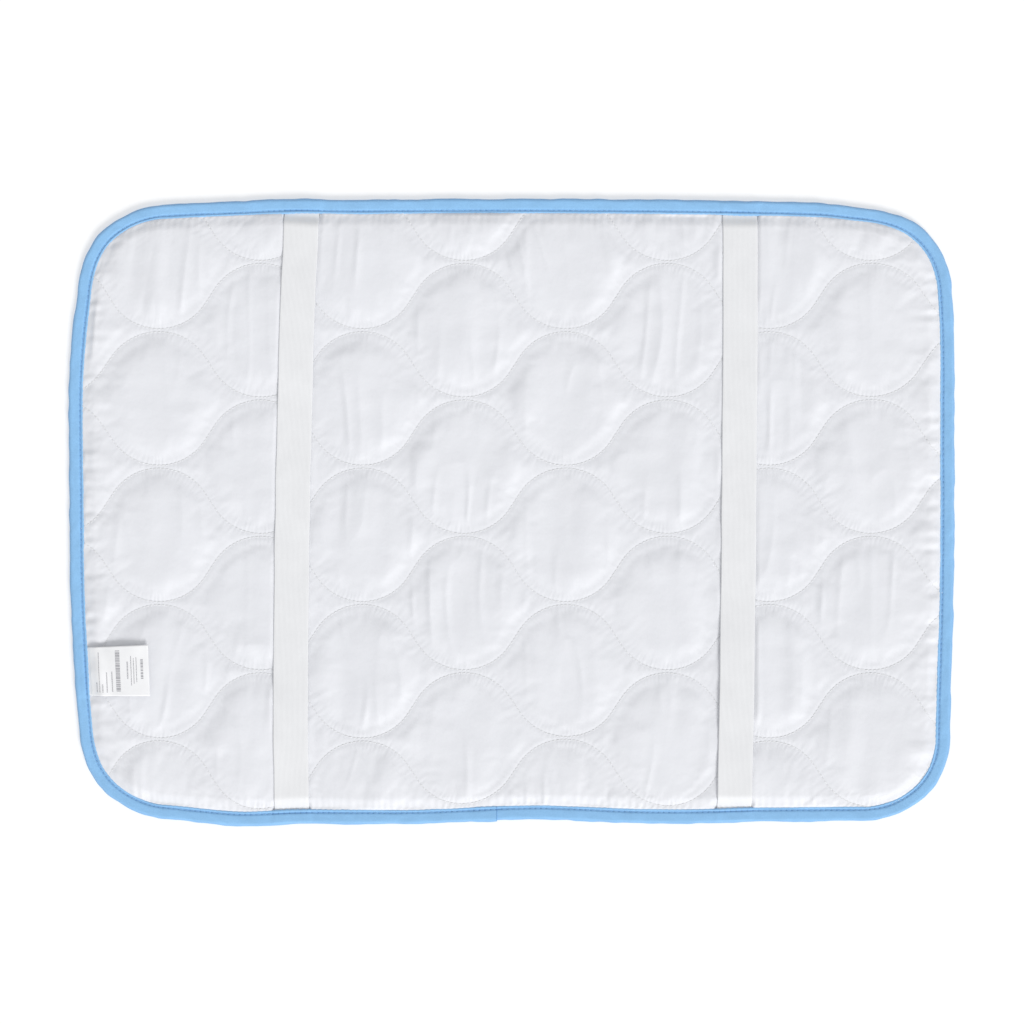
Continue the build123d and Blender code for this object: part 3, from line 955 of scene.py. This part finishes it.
def label_tape(label):
    """Satin tape with plain printed bars in rows. The bars stand for print and say nothing."""
    made, tree, shader = cloth_material("label_tape", label.colour, 0.38, 0.1)
    vector, along, across = uv_axes(tree)
    shade = mottled(tree, vector, label.colour, 0.97, 90)
    marks = 0.0
    for place, tall, start, end, word in PRINT_ROWS:
        in_row = sums(tree, "COMPARE", along, place * MM)
        in_row.node.inputs[2].default_value = tall / 2 * MM
        in_span = sums(tree, "COMPARE", across, (start + end) / 2 * MM)
        in_span.node.inputs[2].default_value = (end - start) / 2 * MM
        shifted = sums(tree, "ADD", sums(tree, "DIVIDE", across, word * MM), 7.3 * place)
        letters = add_node(tree, "ShaderNodeTexNoise", {"W": shifted}, noise_dimensions="1D")
        in_word = sums(tree, "GREATER_THAN", letters.outputs["Fac"], 0.45)
        row = sums(tree, "MULTIPLY", sums(tree, "MULTIPLY", in_row, in_span), in_word)
        marks = sums(tree, "MAXIMUM", row, marks)
    marks = sums(tree, "MULTIPLY", marks, 0.78)
    shade = mixed(tree, marks, shade, label.print_colour)
    tree.links.new(shade, shader.inputs["Base Color"])
    weave = weave_height(tree, along, across, 0.5 * MM, 0.34 * MM)
    add_bump(tree, shader, weave, 0.03 * MM, 0.7)
    return made


def floor_paint(stage):
    """Plain pale floor with a light of its own, like a lit sheet of frosted glass."""
    made, tree, shader = cloth_material("floor_paint", stage.floor_colour, 0.85, 0.0)
    vector, _, _, _ = object_axes(tree)
    shade = mottled(tree, vector, stage.floor_colour, 0.997, 3)
    tree.links.new(shade, shader.inputs["Base Color"])
    shader.inputs["Emission Color"].default_value = (1, 1, 1, 1)
    shader.inputs["Emission Strength"].default_value = 0.43
    return made


# ---------------------------------------------------------------- cloth simulation


def blow_up(relief, x, y):
    """How far the back cloth rises between its stitches when it is blown up from inside.

    The cloth is cut a little larger than its frame, held where it is stitched and along its edge,
    and lifted. What it rises, with the wrinkles that the spare cloth makes, is the result.
    """
    depth = relief.outline.depth(x, y)
    away, _, _ = relief.waves.nearest(x, y)
    points = np.stack((x, y, 0 * x), -1)
    plain = bpy.data.materials.new("blown_cloth")
    cloth = make_piece("blown_cloth", points.reshape(-1, 3), [grid_quads(*x.shape)], plain)
    held = cloth.vertex_groups.new(name="held")
    fixed = ((away < 1.9 * MM) | (depth < relief.binding.width + 1 * MM)).ravel()
    held.add(np.flatnonzero(fixed).tolist(), 1.0, "REPLACE")
    cloth_modifier = cloth.modifiers.new("cloth", "CLOTH")
    cloth_sizes = cloth_modifier.settings
    cloth_sizes.quality = 5
    cloth_sizes.mass = 0.05
    cloth_sizes.tension_stiffness = 12
    cloth_sizes.compression_stiffness = 12
    cloth_sizes.shear_stiffness = 6
    cloth_sizes.bending_stiffness = 0.02
    cloth_sizes.air_damping = 4
    cloth_sizes.shrink_min = -0.022
    cloth_sizes.vertex_group_mass = "held"
    cloth_modifier.collision_settings.use_collision = False
    scene = bpy.context.scene
    gravity = tuple(scene.gravity)
    scene.gravity = (0, 0, 6)
    for number in range(1, 26):
        scene.frame_set(number)
    shape = cloth.evaluated_get(bpy.context.evaluated_depsgraph_get()).to_mesh()
    moved = np.empty(len(shape.vertices) * 3, np.float32)
    shape.vertices.foreach_get("co", moved)
    scene.frame_set(1)
    scene.gravity = gravity
    bpy.data.objects.remove(cloth)
    return moved.reshape(*x.shape, 3)[..., 2].astype(float)


def finer_grid(values, finer):
    """Values on a grid that is finer both ways, linear in between and then blurred once."""
    for axis in (0, 1):
        places = np.arange((values.shape[axis] - 1) * finer + 1) / finer
        low = np.minimum(places.astype(int), values.shape[axis] - 2)
        shape = [1, 1]
        shape[axis] = -1
        share = (places - low).reshape(shape)
        values = np.take(values, low, axis) * (1 - share) + np.take(values, low + 1, axis) * share
        values = blur(values, finer // 2, axis)
    return values


# ---------------------------------------------------------------- straps


class StrapLine:
    """The middle line of an elastic strap, and its height over the quilting."""

    def __init__(self, relief, side, sizes):
        front_low, front_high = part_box(f"{side}_strap_front_end")
        rear_low, rear_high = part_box(f"{side}_strap_rear_end")
        self.front = (front_low.x + front_high.x) / 2
        self.rear = (rear_low.x + rear_high.x) / 2
        self.bow = getattr(sizes, f"{side}_bow")
        self.half = relief.outline.half_width
        self.sizes = sizes
        self.y = np.linspace(-self.half, self.half, 461)
        under = [
            relief.back(self.middle(self.y) + share * sizes.width / 2, self.y)
            for share in (-0.8, -0.4, 0, 0.4, 0.8)
        ]
        top = np.maximum.reduce(under)
        top = -lowest_near(-top, 17, axes=(0,))
        for _ in range(3):
            top = blur(top, 7, 0)
        depth = relief.outline.depth(self.middle(self.y), self.y)
        tucked = BACK_TUCKED - sizes.thickness
        climb = ease((depth - relief.binding.width - 0.2 * MM) / (9 * MM))
        self.under = tucked + (top - 0.55 * MM - tucked) * climb

    def middle(self, y):
        """x of the middle line: straight from front to rear, plus a bow that fades at both ends."""
        share = (y + self.half) / (2 * self.half)
        return self.front + (self.rear - self.front) * share + self.bow * (1 - (y / self.half) ** 2)

    def height(self, y):
        """Height of the strap's underside."""
        return np.interp(y, self.y, self.under)


def press_under_straps(height, x, y, lines):
    """Lowers the cloth to just below each strap where the strap lies on it."""
    for line in lines:
        off = np.abs(x - line.middle(y)) - line.sizes.width / 2
        cover = 1 - ease((off + 0.2 * MM) / (2.6 * MM))
        limit = line.height(y) - 0.06 * MM
        height = height * (1 - cover) + np.minimum(height, limit) * cover
    return height


def strap_half(relief, line, side, part, material):
    """Half of an elastic strap, from its sewn end to the pad's middle: a ribbed strip.

    Across, the height is a row of rounded ribs between two plain selvedges. Along, the strip
    follows the strap's line, and its slope is that line's.
    """
    sizes = line.sizes
    sign = -1 if part == "front" else 1
    y = sign * np.linspace(relief.outline.half_width - 2.5 * MM, 0, 150)
    ribs = int((sizes.width - 2.4 * MM) / sizes.rib)
    ribbed = ribs * sizes.rib / 2
    steps = np.linspace(-ribbed, ribbed, ribs * 4 + 1)
    edge = np.array([-sizes.width / 2, -sizes.width / 2 + 0.35 * MM, -ribbed - 0.25 * MM])
    across = np.concatenate((edge, steps, -edge[::-1]))
    wave = np.abs(np.sin(np.pi * (across + ribbed) / sizes.rib))
    rib = np.where(np.abs(across) <= ribbed, wave, 0.4)
    bulge = 0.5 * sizes.thickness - 0.16 * MM + 0.16 * MM * rib
    rounding = np.clip((sizes.width / 2 - np.abs(across)) / (0.35 * MM), 0, 1)
    bulge = bulge * np.sqrt(rounding) * 0.98 + 0.02 * bulge
    low_across = np.linspace(sizes.width / 2, -sizes.width / 2, 14)[1:-1]
    ring_across = np.concatenate((across, low_across))
    ring_up = np.concatenate((bulge, np.full(len(low_across), -0.5 * sizes.thickness)))
    middle_x = line.middle(y)
    lean = np.gradient(middle_x, y)
    waver = 0.25 * MM * noise(y, 0 * y, 24 * MM, 31 + (side == "right"))
    centre = line.height(y) + 0.5 * sizes.thickness
    tilt = 0.012 * noise(y, 0 * y, 33 * MM, 33 + (side == "right"))
    x = (middle_x + waver)[:, None] + ring_across[None, :]
    along_y = y[:, None] - ring_across[None, :] * lean[:, None]
    z = centre[:, None] + ring_up[None, :] + ring_across[None, :] * tilt[:, None]
    rings = settle(np.stack((x, along_y, z), -1), relief.outline)
    if sign < 0:
        rings = rings[:, ::-1]
        ring_across = ring_across[::-1]
    return swept(f"{side}_strap_{part}", rings, y, ring_across, material)


# ---------------------------------------------------------------- operators


shared = {}


def settings_of(context):
    """The pad's settings, its relief, and the lines of its two straps, made once."""
    settings = context.scene.changing_pad
    if "relief" not in shared:
        relief = Relief(settings)
        shared["relief"] = relief
        shared["lines"] = [StrapLine(relief, side, settings.strap) for side in ("left", "right")]
    return settings, shared["relief"], shared["lines"]


def bend_at_fold(piece):
    """Bakes a piece's placement into its points."""
    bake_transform(piece)


class CHANGINGPAD_OT_quilt(bpy.types.Operator):
    """Build the quilted back cloth, the face cloth and the wadding between them"""

    bl_idname = "changing_pad.quilt"
    bl_label = "Quilted Layers"

    def execute(self, context):
        settings, relief, lines = settings_of(context)
        outline, quilt = relief.outline, settings.quilt
        finer, every_row, every_column = 3, 6, 2
        inset = 4 * MM
        step = quilt.step * finer
        blown = 0.0
        coarse_x, coarse_y = outline.grid(inset, step)
        risen = blow_up(relief, coarse_x, coarse_y)
        smooth = blur(blur(risen, 4, 0), 4, 1)
        wrinkles = np.clip(0.5 * (risen - smooth), -0.45 * MM, 0.45 * MM)
        blown = finer_grid(wrinkles + 0.05 * np.minimum(smooth, 6 * MM), finer)
        x, y = outline.grid(inset, step, finer)
        depth = outline.depth(x, y)
        inside = ease((depth - relief.binding.width) / (6 * MM))
        back = relief.back(x, y, blown * inside)
        back = press_under_straps(back, x, y, lines)
        face = relief.face(x, y)
        rows = np.arange(0, x.shape[0], every_row)
        columns = np.arange(0, x.shape[1], every_column)
        pick = np.ix_(rows, columns)
        back_low = lowest_near(back, every_row)[pick] - 0.35 * MM
        face_high = -lowest_near(-face, every_row)[pick] + 0.35 * MM
        back_low = np.maximum(back_low, (back_low + face_high) / 2 + 0.25 * MM)
        face_high = np.minimum(face_high, back_low - 0.5 * MM)
        back_low = np.minimum(back_low, back[pick] - 0.2 * MM)
        sheets = (
            ("back_fabric", back, back_low, back_cloth(quilt, relief.waves), "back_fabric"),
            ("face_fabric", face, face_high, face_cloth(quilt, relief.waves), "face_cotton"),
        )
        for name, fine_z, coarse_z, material, slot in sheets:
            fine = np.stack((x, y, fine_z), -1)
            coarse = np.stack((x[pick], y[pick], coarse_z), -1)
            if name == "face_fabric":
                fine, coarse = fine[:, ::-1], coarse[:, ::-1]
            points, polygons = closed_sheet(fine, coarse)
            place = relief.waves.sewing_place(points[:, 0], points[:, 1])
            place[x.size:, 1] = 1.0
            uv = sewing_map(place, polygons, relief.waves.half_run)
            piece = make_piece(name, settle(points, outline), polygons, material, uv)
            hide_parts(f"{name}_left", f"{name}_right")
            bend_at_fold(piece)
        top = np.stack((x[pick], y[pick], back_low - 0.1 * MM), -1)
        low = np.stack((x[pick], y[pick], face_high + 0.1 * MM), -1)
        points, polygons = closed_sheet(top, low)
        wadding = make_piece("wadding", settle(points, outline), polygons, wadding_fibre())
        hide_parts("wadding_left", "wadding_right")
        bend_at_fold(wadding)
        return {"FINISHED"}


class CHANGINGPAD_OT_quilting_stitches(bpy.types.Operator):
    """Sew the wave rows: one short thread for each stitch, on the back and on the face"""

    bl_idname = "changing_pad.quilting_stitches"
    bl_label = "Quilting Stitches"

    def execute(self, context):
        settings, relief, lines = settings_of(context)
        outline, quilt, waves = relief.outline, settings.quilt, relief.waves
        reach = 2 * outline.half_length
        count = int(reach * 1.3 / waves.stitch)
        run = np.arange(-count, count + 1) * waves.stitch
        found = []
        for row in waves.rows:
            x, y, slope = waves.point(run, row)
            keep = (outline.depth(x, y) > relief.binding.width - 2 * MM) & (np.abs(x) < reach)
            facing = slope + 0.05 * noise(run, row * 9.1, waves.stitch, 41)
            found.append(np.stack((x, y, facing))[:, keep])
        x, y, facing = np.concatenate(found, 1)
        near = 0.55 * MM
        around = ((near, near), (-near, near), (near, -near), (-near, -near))
        back = sum(relief.back(x + dx, y + dy) for dx, dy in around) / len(around)
        back = press_under_straps(back, x, y, lines)
        hidden = np.zeros(len(x), bool)
        for line in lines:
            hidden |= np.abs(x - line.middle(y)) < line.sizes.width / 2 - 1 * MM
        face = sum(relief.face(x + dx, y + dy) for dx, dy in around) / len(around)
        material = sewing_thread("quilting_thread", quilt.thread_colour)
        everywhere = np.full(len(x), True)
        size = 0.86 * waves.stitch
        runs = (
            ("back", ~hidden, back + 0.06 * MM, 1, "quilting_thread"),
            ("face", everywhere, face - 0.02 * MM, -1, "quilting_bobbin_thread"),
        )
        for side, keep, z, up, node in runs:
            points, polygons = stitches(
                x[keep], y[keep], z[keep], facing[keep], size, 0.23 * MM, up
            )
            name = f"quilting_stitches_{side}"
            piece = make_piece(name, settle(points, outline), polygons, material)
            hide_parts(f"{node}_left", f"{node}_right")
            bend_at_fold(piece)
        return {"FINISHED"}


def binding_profile(binding):
    """The bound edge in section, as inset and height, starting and ending at the inner edge.

    The tape runs in from the hem on the back, over a low dome, round the outer edge, and back
    along the face. Its inner surface returns round the rim of the layers.
    """
    width, thickness = binding.width, binding.thickness
    row = width - binding.stitch_inset
    inset = np.concatenate((
        width - np.array([0.0, 0.1, 0.3]) * MM,
        np.linspace(width - 0.6 * MM, row + 0.9 * MM, 4),
        row + np.array([0.55, 0.25, 0.0, -0.25, -0.55]) * MM,
        np.linspace(row - 0.95 * MM, 2.6 * MM, 10),
    ))
    across = (inset - row) / MM
    lip = 0.32 * bell((across - 1.45) / 0.9)
    groove = -0.42 * bell(across / 0.62)
    dome = np.where(across < 0, 0.62 * np.sqrt(np.clip(1 - (1 + across / 7.0) ** 2, 0, 1)), 0)
    hem = -0.8 * np.clip(1 - (width - inset) / (0.5 * MM), 0, 1) ** 2
    high = thickness - TAPE_DROP + (lip + groove + dome + hem) * MM
    turn = np.linspace(0, np.pi, 13)[1:-1]
    middle, half = thickness / 2, high[-1] - thickness / 2
    round_inset = inset[-1] * (1 - np.sin(turn))
    round_high = middle + half * np.cos(turn)
    outer_inset = np.concatenate((inset, round_inset, inset[::-1]))
    outer_high = np.concatenate((high, round_high, thickness - high[::-1]))
    outer_high = np.maximum(outer_high, 0.02 * MM)
    inner_inset = np.array([width - 0.5 * MM, 6 * MM, 1.6 * MM, 1.6 * MM, 6 * MM, width - 0.5 * MM])
    inner_high = np.array([0.95, 0.75, 1.5, thickness / MM - 1.5, 4.12, 4.15]) * MM
    inset = np.concatenate((outer_inset, inner_inset))
    return inset, np.concatenate((outer_high, inner_high)), len(outer_inset)


class CHANGINGPAD_OT_binding(bpy.types.Operator):
    """Wrap the bias tape round the edge, with its lapped join at the front"""

    bl_idname = "changing_pad.binding"
    bl_label = "Edge Binding"

    def execute(self, context):
        settings, relief, lines = settings_of(context)
        outline, binding = relief.outline, settings.binding
        inset, high, outer = binding_profile(binding)
        lap = 13 * MM
        first = outline.run_at(1.5 * np.pi + np.arcsin(-24 * MM / outline.side_radius))
        run = np.linspace(0, outline.perimeter + lap, 1600)
        angle = outline.facing(first + run)
        over = self.lap_rise(run, outline)
        run_2d, angle_2d = run[:, None], angle[:, None]
        inset = np.broadcast_to(inset[None, :], (len(run), len(inset))).copy()
        high = np.broadcast_to(high[None, :], inset.shape).copy()
        row = binding.width - binding.stitch_inset
        on_back = np.where(np.arange(inset.shape[1]) < outer // 2, 1.0, -1.0)[None, :]
        is_outer = (np.arange(inset.shape[1]) < outer)[None, :]
        off_row = np.abs(inset - row)
        phase = 2 * np.pi * run_2d / binding.stitch
        hole = (0.5 + 0.5 * np.cos(phase)) ** 5
        dent = 0.30 * hole * bell(off_row / (0.75 * MM))
        pucker = 0.10 * np.cos(phase) * np.exp(-off_row / (1.9 * MM)) * (off_row > 0.4 * MM)
        leg = np.clip((inset - 0.3 * MM) / (2 * MM), 0, 1)
        bias = noise(run_2d + 1.1 * inset, inset * 0.5, 5.5 * MM, 51)
        ripple = (0.17 * bias + 0.10 * noise(run_2d, inset, 13 * MM, 52)) * ease(off_row / (2 * MM))
        change = (ripple - dent - pucker) * MM * on_back * leg
        # the tape stands a little higher over what is sewn in beneath it
        x, y = outline.point(angle_2d, 0 * inset)
        for line in lines:
            beside = np.abs(x - line.middle(y)) - line.sizes.width / 2
            change += 0.55 * MM * (1 - ease((beside + 1 * MM) / (4 * MM))) * (on_back > 0) * leg
        label_y = settings.label.from_front - outline.half_width
        beside = np.abs(y - label_y) - settings.label.width / 2
        over_label = 1 - ease((beside + 1 * MM) / (4 * MM))
        change += 0.4 * MM * over_label * (on_back > 0) * (x < -0.3) * leg
        high += np.where(is_outer, change + over[:, None] * on_back, 0)
        edge_wave = 0.28 * noise(run_2d, 0 * run_2d, 16 * MM, 53) - 0.16 * np.cos(phase)
        near_hem = ease((inset - row) / (2.2 * MM))
        inset += near_hem * edge_wave * MM * np.where(is_outer, 1, 0)
        outside = (1 - ease(inset / (3 * MM))) * is_outer
        bulk = 0.35 * noise(run_2d, 0 * run_2d, 9 * MM, 54) + 0.15 * bias
        inset -= outside * (bulk * MM + over[:, None])
        x, y = outline.point(angle_2d, inset)
        rings = settle(np.stack((x, y, np.maximum(high, 0.01 * MM)), -1), outline)
        across = np.where(is_outer[0], inset[0], inset[0] + INNER_MAP)
        material = binding_tape(binding, outline.perimeter + lap)
        piece = swept("edge_binding", rings, run, across, material)
        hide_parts("edge_binding_left", "edge_binding_right")
        bend_at_fold(piece)
        self.stitch(outline, binding, first, row, lap)
        return {"FINISHED"}

    def lap_rise(self, run, outline):
        """How far the tape's end stands off, where it lies over the tape's beginning."""
        return ease((run - outline.perimeter + 7 * MM) / (7 * MM)) * 0.42 * MM

    def stitch(self, outline, binding, first, row, lap):
        """One row of stitches on each side, a stitch between every two dents in the tape."""
        count = int(outline.perimeter / binding.stitch)
        run = (np.arange(count) + np.ceil(lap / binding.stitch) + 0.5) * binding.stitch
        rise = self.lap_rise(run, outline) * (run < outline.perimeter + lap)
        angle = outline.facing(first + run)
        x, y = outline.point(angle, row)
        facing = angle + np.pi / 2
        material = sewing_thread("binding_thread", binding.thread_colour)
        top = binding.thickness - TAPE_DROP - 0.30 * MM
        runs = (
            ("back", top, 1, "binding_stitching"),
            ("face", 0.80 * MM, -1, "binding_bobbin_thread"),
        )
        for side, height, up, node in runs:
            z = height + rise * up
            size = 0.80 * binding.stitch
            points, polygons = stitches(x, y, z, facing, size, 0.24 * MM, up)
            name = f"binding_stitches_{side}"
            piece = make_piece(name, settle(points, outline), polygons, material)
            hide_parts(f"{node}_left", f"{node}_right")
            bend_at_fold(piece)


class CHANGINGPAD_OT_straps(bpy.types.Operator):
    """Lay the two ribbed elastic straps over the back, each as a front and a rear half"""

    bl_idname = "changing_pad.straps"
    bl_label = "Elastic Straps"

    def execute(self, context):
        settings, relief, lines = settings_of(context)
        material = ribbed_elastic(settings.strap)
        for side, line in zip(("left", "right"), lines):
            for part, sign in (("front", -1), ("rear", 1)):
                piece = strap_half(relief, line, side, part, material)
                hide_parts(f"{side}_strap_{part}_end", f"{side}_strap_span")
                sewn = relief.outline.half_width - relief.binding.width - 8 * MM
                start = (line.middle(sign * sewn), sign * sewn, 0)
                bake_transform(piece)
        return {"FINISHED"}


class CHANGINGPAD_OT_label(bpy.types.Operator):
    """Fold the care label and tuck its ends under the binding"""

    bl_idname = "changing_pad.label"
    bl_label = "Care Label"

    def execute(self, context):
        settings, relief, _ = settings_of(context)
        outline, label = relief.outline, settings.label
        middle_y = label.from_front - outline.half_width
        lean = np.arcsin(-middle_y / outline.end_radius)
        root_x, root_y = outline.point(np.pi + lean, 0 * lean)
        inwards = np.array((np.cos(lean), np.sin(lean)))
        sideways = np.array((-np.sin(lean), np.cos(lean)))
        width = relief.binding.width
        far = width + label.length
        reach = np.linspace(width - 1.3 * MM, far, 70)
        across = np.linspace(-label.width / 2, label.width / 2, 37)
        grid_reach, grid_across = np.meshgrid(reach, across, indexing="ij")
        shown = grid_reach - width
        part = np.clip(shown / label.length, 0, 1)
        side = grid_across / (label.width / 2)
        skew = 0.035 * shown * (grid_across / label.width)
        x = root_x + inwards[0] * grid_reach + sideways[0] * (grid_across + skew)
        y = root_y + inwards[1] * grid_reach + sideways[1] * (grid_across + skew)
        ground = relief.back(x, y)
        ground = blur(np.maximum.accumulate(ground, 0), 3, 0)
        ground = blur(ground, 4, 1)
        tucked = 4.25 * MM
        climb = ease((shown + 1.2 * MM) / (3.6 * MM))
        curl = (2.2 - 0.7 * side) * MM * bell((shown - (8.5 - 2 * side) * MM) / (5 * MM))
        lift = 2.1 * MM * ease((shown - 1 * MM) / (22 * MM))
        roll = 0.5 * MM * side**2 * part
        height = tucked + (ground + 0.3 * MM + roll + lift - tucked) * climb + curl * climb
        height += 0.2 * MM * noise(grid_reach, grid_across, 11 * MM, 61) * climb
        height += 0.5 * MM * climb
        # the two layers stand apart a little, and meet at the fold
        gap = (0.10 + 0.22 * np.sin(np.pi * part)) * MM * np.sqrt(np.clip(1 - part**24, 0, 1))
        thick = 0.17 * MM
        layers = (gap + thick, gap, -gap, -gap - thick)
        upper, under_upper, over_lower, lower = (height + layer for layer in layers)
        path_x = np.concatenate((x, x[::-1]))
        path_y = np.concatenate((y, y[::-1]))
        outer = np.concatenate((upper, lower[::-1]))
        inner = np.concatenate((under_upper, over_lower[::-1]))
        bulge = 0.25 * MM * bell((np.concatenate((reach, reach[::-1])) - far) / (0.4 * MM))[:, None]
        outside = np.stack((path_x + inwards[0] * bulge, path_y + inwards[1] * bulge, outer), -1)
        inside = np.stack((path_x, path_y, inner), -1)
        rings = settle(np.concatenate((outside, inside[:, ::-1]), 1), outline)
        travel = np.concatenate((reach, 2 * far - reach[::-1])) - width
        ring_across = np.concatenate((across, across[::-1]))
        piece = swept(
            "care_label_tape", rings[:, ::-1], travel, ring_across[::-1], label_tape(label)
        )
        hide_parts("care_label", "care_label_sewn_end")
        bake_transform(piece)
        return {"FINISHED"}


class CHANGINGPAD_OT_stage(bpy.types.Operator):
    """Set the floor, the soft light and the camera straight above the pad"""

    bl_idname = "changing_pad.stage"
    bl_label = "Stage"

    def execute(self, context):
        stage = context.scene.changing_pad.stage
        half = 60.0  # so far that a low view doesn't see its edge
        corners = np.array([(-half, -half, 0), (half, -half, 0), (half, half, 0), (-half, half, 0)])
        floor = make_piece("floor", corners, [np.arange(4)[None, :]], floor_paint(stage))
        world = bpy.data.worlds.new("studio")
        world.use_nodes = True
        sky = world.node_tree.nodes["Background"]
        sky.inputs["Color"].default_value = (0.985, 0.99, 1.0, 1)
        sky.inputs["Strength"].default_value = 0.64
        context.scene.world = world
        sun = bpy.data.lights.new("window", "SUN")
        sun.energy = 2.15
        sun.angle = np.radians(24)
        sun.color = (1.0, 0.995, 0.985)
        window = bpy.data.objects.new("window", sun)
        window.rotation_euler = (np.radians(54), 0, np.radians(30))
        context.scene.collection.objects.link(window)
        lens = bpy.data.cameras.new("camera")
        lens.lens = stage.lens
        lens.sensor_width = 36
        lens.clip_end = 50
        camera = bpy.data.objects.new("camera", lens)
        distance = stage.view_width * stage.lens / lens.sensor_width
        camera.location = (0, 0, CAD_HIGH.z / 2 + distance)
        context.scene.collection.objects.link(camera)
        context.scene.camera = camera
        context.scene.view_settings.view_transform = "Standard"
        return {"FINISHED"}


class CHANGINGPAD_PT_panel(bpy.types.Panel):
    """Sizes, colours and pieces of the changing pad"""

    bl_label = "Changing Pad"
    bl_idname = "CHANGINGPAD_PT_panel"
    bl_space_type = "VIEW_3D"
    bl_region_type = "UI"
    bl_category = "Changing Pad"

    def draw(self, context):
        settings = context.scene.changing_pad
        for operator in OPERATORS:
            self.layout.operator(operator.bl_idname)
        for group in (settings.outline, settings.quilt, settings.binding, settings.strap,
                      settings.label, settings.stage):
            box = self.layout.box()
            for name in group.bl_rna.properties.keys():
                if name not in ("rna_type", "name"):
                    box.prop(group, name)


GROUPS = (OutlineSizes, QuiltSizes, BindingSizes, StrapSizes, LabelSizes, StageSizes, PadSettings)
OPERATORS = (
    CHANGINGPAD_OT_quilt,
    CHANGINGPAD_OT_quilting_stitches,
    CHANGINGPAD_OT_binding,
    CHANGINGPAD_OT_straps,
    CHANGINGPAD_OT_label,
    CHANGINGPAD_OT_stage,
)


def register():
    """Registers the classes and hangs the settings on the scene."""
    for cls in (*GROUPS, *OPERATORS, CHANGINGPAD_PT_panel):
        bpy.utils.register_class(cls)
    bpy.types.Scene.changing_pad = PointerProperty(type=PadSettings)


def unregister():
    """Takes all of it back."""
    del bpy.types.Scene.changing_pad
    for cls in reversed((*GROUPS, *OPERATORS, CHANGINGPAD_PT_panel)):
        bpy.utils.unregister_class(cls)


def main():
    """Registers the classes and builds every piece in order."""
    register()
    bpy.ops.changing_pad.quilt()
    bpy.ops.changing_pad.quilting_stitches()
    bpy.ops.changing_pad.binding()
    bpy.ops.changing_pad.straps()
    bpy.ops.changing_pad.label()
    bpy.ops.changing_pad.stage()


if __name__ == "__main__":
    main()
